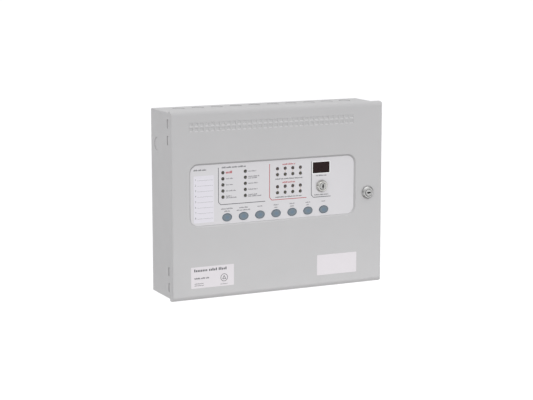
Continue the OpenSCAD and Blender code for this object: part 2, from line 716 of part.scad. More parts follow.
module keyswitch_plug() color([0.75, 0.75, 0.77]) front() at(switch_c) difference() {
    union() {
        disc(5.6, 69.2, 93);
        translate([0, 0, 93]) cylinder(h = 0.5, r1 = 5.6, r2 = 5.1);
    }
    block(-0.9, 0.9, -3.8, 3.8, 86, 95);
    disc(1.7, 91.5, 95);
}

// ---- door lock ----

module lock_body() color([0.8, 0.8, 0.82]) front() at(lock_c)
    barrel(front_o, lock_rim_dia / 2, 8.4, 94.6, 9.5, 72, 5.85, 71);

module lock_nut() color([0.78, 0.78, 0.78]) front() at(lock_c) hex_nut(24, 9.5, inner_o - 3, inner_o);

module lock_plug() color([0.75, 0.75, 0.77]) front() at(lock_c) difference() {
    union() {
        disc(5.8, 71.5, 94.6);
        translate([0, 0, 94.6]) cylinder(h = 0.5, r1 = 5.8, r2 = 5.3);
    }
    block(-3.8, 3.8, -0.9, 0.9, 86, 97);
    disc(1.7, 93, 97);
    disc(1.6, 71, 78);
}

module lock_cam() color([0.72, 0.72, 0.7]) front() at(lock_c, 69.5) linear_extrude(2) difference() {
    union() {
        circle(r = 6.5);
        translate([-5, 0]) square([10, cam_len]);
    }
    circle(r = 1.7);
}

module lock_cam_screw() color([0.78, 0.78, 0.8]) front() at(lock_c) difference() {
    union() {
        disc(1.6, 69, 77);
        disc(3.5, 67.3, 69.5);
    }
    block(-0.5, 0.5, -4, 4, 67, 68.2);
}

back_box();
hinge_brackets();
hinge_pins();
lock_strike();
earth_stud();
chassis_plate();
chassis_fixings();
main_board();
board_standoffs();
board_screws();
field_terminals();
terminal_screws();
mains_terminal_block();
transformer_core();
transformer_coil();
heatsink();
capacitors();
relays();
chips();
buzzer();
main_header();
battery_left();
battery_right();
battery_terminals();
battery_lead_red();
battery_lead_black();
battery_strap();
ribbon_cable();
door_earth_lead();
door_panel();
door_hinge_lugs();
fascia_overlay();
zone_chart_card();
door_labels();
status_lamps();
zone_fire_lamps();
zone_fault_lamps();
display_window();
seven_segment_display();
display_board();
display_board_fixings();
tact_switches();
display_header();
door_earth_stud();
silence_alarm_button();
mute_buzzer_button();
reset_button();
lamp_test_button();
select_zone_button();
menu_step_button();
enter_button();
keyswitch_body();
keyswitch_nut();
keyswitch_contact_block();
keyswitch_plug();
lock_body();
lock_nut();
lock_plug();
lock_cam();
lock_cam_screw();
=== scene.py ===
"""Looks of the fire alarm control panel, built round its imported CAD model."""
import json
import math
import random

import bmesh
import bpy
from mathutils import Matrix, Vector


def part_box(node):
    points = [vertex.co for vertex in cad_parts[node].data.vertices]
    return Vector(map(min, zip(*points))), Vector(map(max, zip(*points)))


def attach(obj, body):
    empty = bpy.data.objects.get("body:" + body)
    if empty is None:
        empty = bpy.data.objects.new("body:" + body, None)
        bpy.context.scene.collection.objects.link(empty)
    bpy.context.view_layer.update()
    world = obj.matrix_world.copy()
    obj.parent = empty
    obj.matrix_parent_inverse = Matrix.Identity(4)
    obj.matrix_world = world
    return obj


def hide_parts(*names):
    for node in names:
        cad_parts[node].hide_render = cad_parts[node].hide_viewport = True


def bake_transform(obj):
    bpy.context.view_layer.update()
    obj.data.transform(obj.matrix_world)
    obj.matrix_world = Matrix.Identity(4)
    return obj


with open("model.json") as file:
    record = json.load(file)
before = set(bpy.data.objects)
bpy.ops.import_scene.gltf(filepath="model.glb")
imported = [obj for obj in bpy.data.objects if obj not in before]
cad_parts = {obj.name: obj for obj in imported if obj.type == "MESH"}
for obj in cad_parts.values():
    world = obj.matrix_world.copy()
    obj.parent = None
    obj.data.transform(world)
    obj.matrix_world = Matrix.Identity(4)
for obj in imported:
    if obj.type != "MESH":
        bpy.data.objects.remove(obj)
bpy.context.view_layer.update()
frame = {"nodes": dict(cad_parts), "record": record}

MM = 0.001
NODES = frame["nodes"]
BOX_BODY = "back_box_body"
DOOR_BODY = "door"


# ---- places taken from the CAD model ----

def low(node):
    """A node's lowest corner as x, up and out, in millimetres: out is the distance from the wall."""
    a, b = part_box(node)
    return a.x / MM, a.z / MM, -b.y / MM


def high(node):
    a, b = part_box(node)
    return b.x / MM, b.z / MM, -a.y / MM


def middle(node):
    return tuple((p + q) / 2 for p, q in zip(low(node), high(node)))


def solids(node):
    """The (low, high) corners of each separate solid of a node, in mm, sorted by height and then by x."""
    bm = bmesh.new()
    bm.from_mesh(NODES[node].data)
    bmesh.ops.remove_doubles(bm, verts=bm.verts, dist=1e-6)
    seen, found = set(), []
    for first in bm.verts:
        if first.index in seen:
            continue
        group, todo = [], [first]
        seen.add(first.index)
        while todo:
            v = todo.pop()
            group.append((v.co.x / MM, v.co.z / MM, -v.co.y / MM))
            for edge in v.link_edges:
                w = edge.other_vert(v)
                if w.index not in seen:
                    seen.add(w.index)
                    todo.append(w)
        found.append((tuple(map(min, zip(*group))), tuple(map(max, zip(*group)))))
    bm.free()
    return sorted(found, key=lambda s: (-round(s[1][1]), s[0][0]))


def centres(node):
    return [((a[0] + b[0]) / 2, (a[1] + b[1]) / 2) for a, b in solids(node)]


def at(x, up, out):
    return Vector((x, -out, up)) * MM


FACE = high("fascia_overlay")[2]
PRINT_T = 0.03


# ---- mesh building ----

def finish_piece(name, bm, body, material, smooth=False):
    bmesh.ops.recalc_face_normals(bm, faces=bm.faces)
    mesh = bpy.data.meshes.new(name)
    bm.to_mesh(mesh)
    bm.free()
    obj = bpy.data.objects.new(name, mesh)
    bpy.context.scene.collection.objects.link(obj)
    mesh.materials.append(material)
    if smooth:
        mesh.shade_smooth()
        mesh.set_sharp_from_angle(angle=math.radians(35))
    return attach(obj, body)


def skin(bm, rings, caps=True):
    """Faces between neighbouring rings of corners, and caps over the first and last ring."""
    for a, b in zip(rings, rings[1:]):
        for i in range(len(a)):
            j = (i + 1) % len(a)
            bm.faces.new((a[i], a[j], b[j], b[i]))
    if caps:
        bm.faces.new(list(reversed(rings[0])))
        bm.faces.new(rings[-1])


def section(bm, centre, u, v, r, sides):
    """A ring of corners round a point, in the plane of the directions u and v."""
    turns = [2 * math.pi * k / sides for k in range(sides)]
    return [bm.verts.new(centre + (u * math.cos(a) + v * math.sin(a)) * r * MM) for a in turns]


def prism(bm, outline, out0, out1):
    """A plate from a closed outline of (x, up) points, between two distances from the wall."""
    skin(bm, [[bm.verts.new(at(x, z, out)) for x, z in outline] for out in (out0, out1)])


def box_outline(x0, x1, z0, z1, r=0.0, steps=4):
    if r <= 0:
        return [(x0, z0), (x1, z0), (x1, z1), (x0, z1)]
    points = []
    corners = ((x1 - r, z0 + r, -90), (x1 - r, z1 - r, 0), (x0 + r, z1 - r, 90), (x0 + r, z0 + r, 180))
    for cx, cz, start in corners:
        for i in range(steps + 1):
            a = math.radians(start + 90 * i / steps)
            points.append((cx + r * math.cos(a), cz + r * math.sin(a)))
    return points


def dash(bm, x0, x1, z, h, out, t=PRINT_T):
    """A printed bar with round ends."""
    prism(bm, box_outline(x0, x1, z - h / 2, z + h / 2, min(h, x1 - x0) * 0.45, 3), out, out + t)


def stroke(bm, points, width, out, t=PRINT_T):
    """A printed line of even width along open points, mitred at its bends."""
    left, right = [], []
    for i, p in enumerate(points):
        a = points[max(i - 1, 0)]
        b = points[min(i + 1, len(points) - 1)]
        u = Vector((p[0] - a[0], p[1] - a[1])) if i else Vector((b[0] - p[0], b[1] - p[1]))
        v = Vector((b[0] - p[0], b[1] - p[1])) if i < len(points) - 1 else u
        u.normalize()
        v.normalize()
        t2 = (u + v).normalized()
        normal = Vector((-t2.y, t2.x))
        k = width / 2 / max(0.3, normal.dot(Vector((-u.y, u.x))))
        left.append((p[0] + normal.x * k, p[1] + normal.y * k))
        right.append((p[0] - normal.x * k, p[1] - normal.y * k))
    for i in range(len(points) - 1):
        prism(bm, [left[i], right[i], right[i + 1], left[i + 1]], out, out + t)


def revolve(bm, centre, profile, segments=40):
    """A turned shape about an axis that points out of the wall; profile is (radius, out) points."""
    rings = []
    for r, out in profile:
        if r < 1e-6:
            rings.append([bm.verts.new(at(centre[0], centre[1], out))])
            continue
        ring = []
        for k in range(segments):
            a = 2 * math.pi * k / segments
            ring.append(bm.verts.new(at(centre[0] + r * math.cos(a), centre[1] + r * math.sin(a), out)))
        rings.append(ring)
    for a, b in zip(rings, rings[1:]):
        for k in range(segments):
            j = (k + 1) % segments
            if len(a) == 1 and len(b) == 1:
                continue
            if len(a) == 1:
                bm.faces.new((a[0], b[k], b[j]))
            elif len(b) == 1:
                bm.faces.new((a[k], a[j], b[0]))
            else:
                bm.faces.new((a[k], a[j], b[j], b[k]))


def closed_ring(bm, centre, profile, segments=40):
    revolve(bm, centre, list(profile) + [profile[0]], segments)
    bmesh.ops.remove_doubles(bm, verts=bm.verts, dist=1e-7)


def merge(bm, part):
    """Moves a finished part into a larger mesh."""
    mesh = bpy.data.meshes.new("scratch")
    part.to_mesh(mesh)
    part.free()
    bm.from_mesh(mesh)
    bpy.data.meshes.remove(mesh)


def slab(bm, x, z, out, bevel=0.0):
    """A box between pairs of x, up and out, with rounded edges."""
    corners = [at(x[i], z[j], out[k]) for i in (0, 1) for j in (0, 1) for k in (0, 1)]
    v = [bm.verts.new(c) for c in corners]
    quads = ((0, 1, 3, 2), (4, 6, 7, 5), (0, 4, 5, 1), (2, 3, 7, 6), (0, 2, 6, 4), (1, 5, 7, 3))
    faces = [bm.faces.new([v[i] for i in q]) for q in quads]
    if bevel:
        edges = {e for f in faces for e in f.edges}
        bmesh.ops.bevel(bm, geom=list(edges), offset=bevel * MM, segments=2, profile=0.7, affect="EDGES")


def tube(bm, points, r, sides=10):
    """A round lead along (x, up, out) points with rounded bends."""
    path = smooth_path([at(*p) for p in points])
    ref = Vector((0.13, 0.21, 0.97)).normalized()
    rings = []
    for i, p in enumerate(path):
        t = (path[min(i + 1, len(path) - 1)] - path[max(i - 1, 0)]).normalized()
        u = (ref - t * ref.dot(t)).normalized()
        ref = u
        rings.append(section(bm, p, u, t.cross(u), r, sides))
    skin(bm, rings)


def smooth_path(points, steps=6):
    path = []
    for i in range(len(points) - 1):
        a = points[max(i - 1, 0)]
        b, c = points[i], points[i + 1]
        d = points[min(i + 2, len(points) - 1)]
        for j in range(steps):
            t = j / steps
            path.append(0.5 * (2 * b + (c - a) * t + (2 * a - 5 * b + 4 * c - d) * t * t
                               + (3 * b - a - 3 * c + d) * t ** 3))
    path.append(points[-1])
    return path


# ---- shader building ----

class Paint:
    """A small builder round one Principled material."""

    def __init__(self, name, colour, roughness=0.5, metallic=0.0, **sockets):
        self.material = bpy.data.materials.new(name)
        self.material.use_nodes = True
        self.tree = self.material.node_tree
        self.shader = self.tree.nodes["Principled BSDF"]
        self.shader.inputs["Base Color"].default_value = (*colour, 1)
        self.shader.inputs["Roughness"].default_value = roughness
        self.shader.inputs["Metallic"].default_value = metallic
        for key, value in sockets.items():
            self.shader.inputs[key.replace("_", " ").title().replace("Ior", "IOR")].default_value = value
        self.where = self.node("ShaderNodeTexCoord").outputs["Object"]
        self.normal = None

    def node(self, kind, **settings):
        n = self.tree.nodes.new(kind)
        for key, value in settings.items():
            if key in n.inputs:
                n.inputs[key].default_value = value
            else:
                setattr(n, key, value)
        return n

    def link(self, a, b):
        self.tree.links.new(a, b)

    def stretched(self, scale):
        n = self.node("ShaderNodeMapping", Scale=scale)
        self.link(self.where, n.inputs["Vector"])
        return n.outputs["Vector"]

    def noise(self, scale, detail=3.0, rough=0.5, where=None):
        n = self.node("ShaderNodeTexNoise", Scale=scale, Detail=detail, Roughness=rough)
        self.link(where or self.where, n.inputs["Vector"])
        return n.outputs["Fac"]

    def cells(self, scale, feature="F1", where=None):
        n = self.node("ShaderNodeTexVoronoi", Scale=scale, feature=feature)
        self.link(where or self.where, n.inputs["Vector"])
        return n

    def span(self, value, a, b, c, d):
        """value from a..b mapped to c..d and clamped."""
        n = self.node("ShaderNodeMapRange")
        for key, number in (("From Min", a), ("From Max", b), ("To Min", c), ("To Max", d)):
            n.inputs[key].default_value = number
        self.link(value, n.inputs["Value"])
        return n.outputs["Result"]

    def sum(self, a, b, op="ADD"):
        n = self.node("ShaderNodeMath", operation=op)
        for socket, value in zip(n.inputs, (a, b)):
            if isinstance(value, (int, float)):
                socket.default_value = value
            else:
                self.link(value, socket)
        return n.outputs[0]

    def inside(self, x0, x1, z0, z1):
        """1 inside a rectangle of the door, given in millimetres, and 0 a millimetre outside it."""
        place = self.node("ShaderNodeMapping", Location=(-(x0 + x1) / 2 * MM, 0, -(z0 + z1) / 2 * MM))
        self.link(self.where, place.inputs["Vector"])
        split = self.node("ShaderNodeSeparateXYZ")
        self.link(place.outputs["Vector"], split.inputs[0])
        within = 1.0
        for axis, half in (("X", (x1 - x0) / 2 * MM), ("Z", (z1 - z0) / 2 * MM)):
            away = self.node("ShaderNodeMath", operation="ABSOLUTE")
            self.link(split.outputs[axis], away.inputs[0])
            within = self.sum(self.span(away.outputs[0], half, half + MM, 1, 0), within, "MULTIPLY")
        return within

    def mixed(self, factor, a, b):
        n = self.node("ShaderNodeMix", data_type="RGBA")
        self.link(factor, n.inputs[0])
        for socket, value in ((n.inputs[6], a), (n.inputs[7], b)):
            if isinstance(value, tuple):
                socket.default_value = (*value, 1)
            else:
                self.link(value, socket)
        return n.outputs[2]

    def colour(self, value):
        self.link(value, self.shader.inputs["Base Color"])

    def roughness(self, value):
        self.link(value, self.shader.inputs["Roughness"])

    def bump(self, height, strength, distance):
        n = self.node("ShaderNodeBump", Strength=strength, Distance=distance * MM)
        self.link(height, n.inputs["Height"])
        if self.normal:
            self.link(self.normal, n.inputs["Normal"])
        self.normal = n.outputs["Normal"]
        self.link(self.normal, self.shader.inputs["Normal"])


def shade(colour, factor):
    return tuple(min(1.0, c * factor) for c in colour)


def plastic(name, colour, roughness=0.45, grain=0.6, grain_scale=1800, variation=0.06, **sockets):
    """Moulded plastic: spark-eroded grain, faint flow marks and uneven gloss."""
    p = Paint(name, colour, roughness, **sockets)
    flow = p.noise(60, 2)
    p.colour(p.mixed(flow, shade(colour, 1 - variation), shade(colour, 1 + variation)))
    p.roughness(p.span(p.noise(220, 4), 0.3, 0.7, roughness - 0.07, roughness + 0.07))
    p.bump(p.noise(grain_scale, 2), grain, 0.02)
    return p.material


def powder_coat(name, colour, painted_shading=()):
    """Fine powder coat: slight orange peel, tiny specks in the gloss and a faint handling haze.

    Each entry of the last argument is a region and its tones: inside the region the colour is
    painted darker or paler by which way the surface faces, as painted shade and painted highlight where the
    steel turns out of the flat.
    """
    p = Paint(name, colour, 0.42, Coat_weight=0.0)
    haze = p.span(p.noise(9, 4, 0.6), 0.3, 0.7, 0, 1)
    speck = p.span(p.noise(1600, 2), 0.62, 0.75, 0, 1)
    base = p.mixed(haze, shade(colour, 0.985), shade(colour, 1.012))
    # Painted light and shade: in each region the colour is darkened or paled by which way the surface faces.
    for region, tones in painted_shading:
        inside = p.inside(*region)
        facing = p.node("ShaderNodeSeparateXYZ")
        p.link(p.node("ShaderNodeTexCoord").outputs["Normal"], facing.inputs[0])
        for axis, (a, b), (c, d), tone in tones:
            painted_amount = p.span(facing.outputs[axis], a, b, c, d)
            base = p.mixed(p.sum(painted_amount, inside, "MULTIPLY"), base, shade(colour, tone))
    p.colour(p.mixed(p.sum(speck, 0.35, "MULTIPLY"), base, shade(colour, 0.9)))
    p.roughness(p.span(p.sum(p.noise(30, 5, 0.65), p.sum(speck, 0.1, "MULTIPLY")), 0.3, 0.8, 0.36, 0.5))
    p.bump(p.noise(520, 2, 0.5), 0.35, 0.03)
    p.bump(p.noise(2600, 1), 0.25, 0.008)
    return p.material


def film(name, colour, roughness=0.36):
    """Printed polyester film: a velvet surface with faint gloss patches."""
    p = Paint(name, colour, roughness)
    p.colour(p.mixed(p.noise(14, 3), shade(colour, 0.985), shade(colour, 1.015)))
    p.roughness(p.span(p.noise(90, 4), 0.3, 0.7, roughness - 0.05, roughness + 0.06))
    p.bump(p.cells(2400).outputs["Distance"], 0.25, 0.006)
    return p.material


def card(name, colour):
    """Pale card: short fibres and soft mottling."""
    p = Paint(name, colour, 0.7)
    fibre = p.noise(900, 5, 0.7, p.stretched((1, 1, 0.25)))
    p.colour(p.mixed(fibre, shade(colour, 0.965), shade(colour, 1.02)))
    p.bump(fibre, 0.3, 0.01)
    return p.material


def plated(name, colour, roughness, scratch=0.3, stretch=(1, 1, 1), scale=420):
    """Plated metal: fine scratches, a little spangle and uneven roughness."""
    p = Paint(name, colour, roughness, 1.0)
    spangle = p.cells(scale).outputs["Color"]
    grey = p.node("ShaderNodeRGBToBW")
    p.link(spangle, grey.inputs[0])
    p.colour(p.mixed(grey.outputs[0], shade(colour, 0.93), shade(colour, 1.05)))
    lines = p.noise(260, 6, 0.75, p.stretched(stretch))
    p.roughness(p.span(lines, 0.3, 0.7, max(0.03, roughness - 0.08), roughness + 0.1))
    p.bump(lines, scratch, 0.01)
    return p.material


def button_paint(name, node, colour, half):
    """Push button: a paler oval middle, a darker rim and a soft silicone bloom, all about its own centre."""
    cx, cz, _ = middle(node)
    p = Paint(name, colour, 0.5)
    place = p.node("ShaderNodeMapping", Location=(-cx * MM, 0, -cz * MM))
    p.link(p.where, place.inputs["Vector"])
    split = p.node("ShaderNodeSeparateXYZ")
    p.link(place.outputs["Vector"], split.inputs[0])
    across = p.sum(split.outputs["X"], half[0] * MM, "DIVIDE")
    up = p.sum(split.outputs["Z"], half[1] * MM, "DIVIDE")
    reach = p.sum(p.sum(across, across, "MULTIPLY"), p.sum(up, up, "MULTIPLY"))
    r = p.sum(reach, 0.5, "POWER")
    ring = p.span(r, 0.3, 0.62, 0, 1)
    rim = p.span(r, 0.78, 0.98, 0, 1)
    base = p.mixed(ring, shade(colour, 0.98), (0.145, 0.172, 0.19))
    base = p.mixed(rim, base, shade(colour, 0.6))
    bloom = p.noise(180, 4, 0.6)
    p.colour(p.mixed(p.span(bloom, 0.35, 0.7, 0, 0.25), base, shade(colour, 1.25)))
    p.roughness(p.span(bloom, 0.3, 0.7, 0.42, 0.6))
    p.bump(p.noise(2200, 2), 0.4, 0.01)
    return p.material


def lamp_lens(name, colour, glow):
    """Unlit lamp: dark smoked resin with the tint of its colour showing through unevenly."""
    p = Paint(name, colour, 0.16, Coat_weight=0.6, Coat_roughness=0.05)
    p.colour(p.mixed(p.noise(500, 3), colour, glow))
    p.roughness(p.span(p.noise(900, 3), 0.3, 0.7, 0.1, 0.25))
    p.bump(p.noise(700, 2), 0.15, 0.01)
    return p.material


def smoked(name, colour, glow):
    """Dark red-brown window film with a velvet back and a faint uneven tint."""
    p = Paint(name, colour, 0.3, Specular_ior_level=0.1)
    p.colour(p.mixed(p.noise(60, 3), colour, glow))
    p.roughness(p.span(p.noise(300, 3), 0.3, 0.7, 0.24, 0.38))
    p.bump(p.noise(900, 2), 0.1, 0.006)
    return p.material


def circuit_board(name, colour):
    """Solder mask over copper: tracks and a ground area show as slightly paler, raised green."""
    p = Paint(name, colour, 0.32, Coat_weight=0.35, Coat_roughness=0.2)
    wide = p.node("ShaderNodeTexBrick", Scale=95.0)
    wide.inputs["Mortar Size"].default_value = 0.035
    wide.inputs["Color1"].default_value = (0, 0, 0, 1)
    wide.inputs["Color2"].default_value = (0.25, 0.25, 0.25, 1)
    wide.inputs["Mortar"].default_value = (1, 1, 1, 1)
    turned = p.node("ShaderNodeMapping", Rotation=(math.pi / 2, 0, 0))
    p.link(p.where, turned.inputs["Vector"])
    p.link(turned.outputs["Vector"], wide.inputs["Vector"])
    tracks = wide.outputs["Color"]
    grey = p.node("ShaderNodeRGBToBW")
    p.link(tracks, grey.inputs[0])
    weave = p.noise(1200, 2)
    copper = p.mixed(grey.outputs[0], colour, shade(colour, 1.9))
    p.colour(p.mixed(p.span(weave, 0.4, 0.7, 0, 0.3), copper, shade(colour, 0.7)))
    p.roughness(p.span(weave, 0.3, 0.7, 0.25, 0.4))
    p.bump(grey.outputs[0], 0.4, 0.03)
    return p.material


def laminations(name, colour):
    """Varnished transformer laminations, half a millimetre each."""
    p = Paint(name, colour, 0.45, 0.35)
    wave = p.node("ShaderNodeTexWave", Scale=320.0, Distortion=0.3, bands_direction="Z")
    p.link(p.where, wave.inputs["Vector"])
    p.colour(p.mixed(wave.outputs["Fac"], shade(colour, 0.6), shade(colour, 1.5)))
    p.roughness(p.span(p.noise(300, 4), 0.3, 0.7, 0.35, 0.6))
    p.bump(wave.outputs["Fac"], 0.6, 0.08)
    return p.material


def winding_tape(name, colour):
    """Polyester tape wound round the coil, a little see-through over the copper."""
    p = Paint(name, colour, 0.3, Coat_weight=0.3)
    wave = p.node("ShaderNodeTexWave", Scale=110.0, Distortion=0.6, bands_direction="Y")
    p.link(p.where, wave.inputs["Vector"])
    copper = p.mixed(wave.outputs["Fac"], shade(colour, 0.65), colour)
    p.colour(p.mixed(p.span(p.noise(40, 4), 0.4, 0.7, 0, 0.5), copper, (0.45, 0.2, 0.06)))
    p.roughness(p.span(p.noise(150, 4), 0.3, 0.7, 0.22, 0.42))
    p.bump(wave.outputs["Fac"], 0.5, 0.1)
    return p.material


def striped_lead(name, colour, stripe):
    """Two-colour earth lead: the stripe runs round the lead in a long helix."""
    p = Paint(name, colour, 0.35)
    wave = p.node("ShaderNodeTexWave", Scale=55.0, Distortion=1.5, bands_direction="DIAGONAL")
    p.link(p.where, wave.inputs["Vector"])
    p.colour(p.mixed(p.span(wave.outputs["Fac"], 0.5, 0.6, 0, 1), colour, stripe))
    p.roughness(p.span(p.noise(400, 3), 0.3, 0.7, 0.28, 0.42))
    return p.material


def flat_ribbon(name, colour):
    """Ribbon cable: a row of fine cores, 1.27 mm apart, across the strip, with painted shade in the grooves
    between them.
    """
    p = Paint(name, colour, 0.4)
    wave = p.node("ShaderNodeTexWave", Scale=2 * math.pi / (20 * 1.27 * MM), bands_direction="Z")
    p.link(p.where, wave.inputs["Vector"])
    # Painted shade: narrow darker lines where the grooves between the cores lie.
    p.colour(p.mixed(p.span(wave.outputs["Fac"], 0.0, 0.25, 1, 0), colour, shade(colour, 0.6)))
    p.roughness(p.span(p.noise(300, 3), 0.3, 0.7, 0.32, 0.48))
    p.bump(wave.outputs["Fac"], 0.8, 0.25)
    return p.material


def ink(name, colour, roughness=0.5, **sockets):
    """Screen-printed ink with slightly uneven cover."""
    p = Paint(name, colour, roughness, **sockets)
    p.colour(p.mixed(p.span(p.noise(1400, 4), 0.3, 0.7, 0, 1), shade(colour, 0.9), shade(colour, 1.12)))
    p.roughness(p.span(p.noise(600, 3), 0.3, 0.7, roughness - 0.08, roughness + 0.1))
    return p.material


GREY_PAINT = (0.433, 0.43, 0.434)
BLUE_BUTTON = (0.112, 0.166, 0.222)
BUTTON_HALF = (8.5, 6.5)

MATERIALS = {
    "painted_steel": powder_coat("powder_coat_grey", GREY_PAINT),
    "zinc_steel": plated("zinc_plate", (0.43, 0.43, 0.41), 0.38, 0.2, (1, 1, 0.2)),
    "chrome_plate": plated("chrome_plate", (0.56, 0.555, 0.53), 0.09, 0.05, (1, 1, 1), 900),
    "brass": plated("brass", (0.72, 0.53, 0.24), 0.28, 0.15),
    "overlay_film": film("overlay_film", (0.557, 0.548, 0.563)),
    "card": card("zone_card", (0.635, 0.62, 0.665)),
    "label_film": film("label_film", (0.607, 0.58, 0.603), 0.42),
    "smoked_window": smoked("smoked_window", (0.015, 0.008, 0.0075), (0.021, 0.011, 0.0105)),
    "display_grey": plastic("display_grey", (0.3, 0.3, 0.31), 0.4),
    "circuit_board": circuit_board("circuit_board", (0.012, 0.11, 0.045)),
    "terminal_green": plastic("terminal_green", (0.02, 0.25, 0.1), 0.38),
    "terminal_cream": plastic("terminal_cream", (0.72, 0.68, 0.56), 0.4),
    "relay_white": plastic("relay_white", (0.74, 0.74, 0.7), 0.25),
    "black_plastic": plastic("black_plastic", (0.018, 0.018, 0.02), 0.42),
    "battery_case": plastic("battery_case", (0.03, 0.03, 0.034), 0.48, 0.9, 1100),
    "core_steel": laminations("core_laminations", (0.09, 0.09, 0.1)),
    "coil_tape": winding_tape("coil_tape", (0.6, 0.42, 0.08)),
    "fin_aluminium": plated("fin_aluminium", (0.66, 0.67, 0.69), 0.3, 0.25, (1, 1, 0.1)),
    "capacitor_sleeve": plastic("capacitor_sleeve", (0.02, 0.03, 0.09), 0.25, 0.3),
    "lead_red": plastic("lead_red", (0.5, 0.012, 0.01), 0.35, 0.3),
    "lead_black": plastic("lead_black", (0.014, 0.014, 0.015), 0.35, 0.3),
    "lead_green": striped_lead("lead_green_yellow", (0.05, 0.26, 0.03), (0.75, 0.6, 0.03)),
    "ribbon_grey": flat_ribbon("ribbon_grey", (0.48, 0.49, 0.5)),
}
LAMP_TINTS = {
    "status_lamps": (0.055, 0.05, 0.03),
    "zone_fire_lamps": (0.07, 0.03, 0.025),
    "zone_fault_lamps": (0.065, 0.05, 0.02),
}
BUTTONS = [
    "silence_alarm_button", "mute_buzzer_button", "reset_button", "lamp_test_button",
    "select_zone_button", "menu_step_button", "enter_button",
]
INK_GREY = ink("ink_grey", (0.07, 0.075, 0.08))
INK_SOFT = ink("ink_soft_grey", (0.14, 0.14, 0.15))
INK_RED = ink("ink_red", (0.36, 0.03, 0.04))
INK_PALE = ink("ink_pale", (0.78, 0.78, 0.77))
INK_BLACK = ink("ink_black", (0.003, 0.002, 0.002), 0.4, Specular_ior_level=0.08)
INK_ORANGE = ink("ink_orange", (0.55, 0.3, 0.17))
SOLDER = plated("solder", (0.7, 0.7, 0.72), 0.25, 0.1)
BLACK = MATERIALS["black_plastic"]
RESISTOR = plastic("resistor_body", (0.55, 0.42, 0.26), 0.4)
CERAMIC = plastic("ceramic_disc", (0.6, 0.33, 0.08), 0.45)
(PANEL_X0, PANEL_Z0, _), (PANEL_X1, PANEL_Z1, _) = low("fascia_overlay"), high("fascia_overlay")
DOOR_TOP = high("door_panel")[1]
# Painted shade and painted highlight on the door: round the fascia recess the slopes facing down or to the
# left are painted darker and the slope facing up paler; above it the vents' walls and up-facing slopes are
# painted paler.
DOOR_COAT_PAINTED_SHADE = powder_coat("powder_coat_door_painted_shade", GREY_PAINT, [
    ((PANEL_X0 - 4, PANEL_X1 + 4, PANEL_Z0 - 4, PANEL_Z1 + 4),
     [("Z", (-0.7, -0.05), (0.66, 0), 0.6), ("Z", (0.05, 0.7), (0, 0.4), 1.35),
      ("X", (-0.7, -0.05), (0.3, 0), 0.6)]),
    ((PANEL_X0, PANEL_X1 + 4, PANEL_Z1 + 12, DOOR_TOP - 12),
     [("Y", (-0.99, -0.8), (0, 0.4), 1.35), ("Z", (0.1, 0.4), (0, 0.22), 1.6)]),
])
# Near-black plastic for the painted shade in the keyways.
KEYWAY_PAINTED_SHADE = plastic("keyway_shadow", (0.002, 0.002, 0.002), 0.6, Specular_ior_level=0.05)
SATIN = plated("satin_nickel", (0.43, 0.43, 0.425), 0.27, 0.08, (1, 1, 1), 900)


def paint_nodes():
    slots = {s["node"]: s["material_slot"] for s in frame["record"]["subparts"]}
    for name, obj in NODES.items():
        if name in LAMP_TINTS:
            material = lamp_lens("lens_" + name, (0.05, 0.047, 0.042), LAMP_TINTS[name])
        elif name in ("keyswitch_plug", "lock_body", "lock_plug"):
            material = SATIN
        elif name == "door_panel":
            material = DOOR_COAT_PAINTED_SHADE
        elif name in BUTTONS:
            material = button_paint("paint_" + name, name, BLUE_BUTTON, BUTTON_HALF)
        else:
            material = MATERIALS[slots[name]]
        obj.data.materials.clear()
        obj.data.materials.append(material)


# ---- camera, floor and lights ----

# The camera stands to the left of the panel and a little above it.
AIM = Vector((0, -45, 0)) * MM
YAW = math.radians(25.63)
PITCH = math.radians(9.34)
DISTANCE = 2555.7 * MM
SENSOR = 36.0
LENS = 1524.8 / 533 * SENSOR
NUDGE = (0.00327, -0.00781)


def place_camera():
    look = Vector((math.sin(YAW) * math.cos(PITCH), math.cos(YAW) * math.cos(PITCH), -math.sin(PITCH)))
    data = bpy.data.cameras.new("camera")
    data.lens = LENS
    data.sensor_width = SENSOR
    data.shift_x = -NUDGE[0]
    data.shift_y = NUDGE[1]
    data.clip_end = 100
    obj = bpy.data.objects.new("camera", data)
    obj.location = AIM - look * DISTANCE
    obj.rotation_euler = look.to_track_quat("-Z", "Y").to_euler()
    bpy.context.scene.collection.objects.link(obj)
    bpy.context.scene.camera = obj


def area_light(name, place, target, size, power, colour=(1, 1, 1)):
    data = bpy.data.lights.new(name, "AREA")
    data.shape = "RECTANGLE"
    data.size, data.size_y = size
    data.energy = power
    data.color = colour
    obj = bpy.data.objects.new(name, data)
    obj.location = place
    obj.rotation_euler = (Vector(target) - Vector(place)).to_track_quat("-Z", "Y").to_euler()
    bpy.context.scene.collection.objects.link(obj)


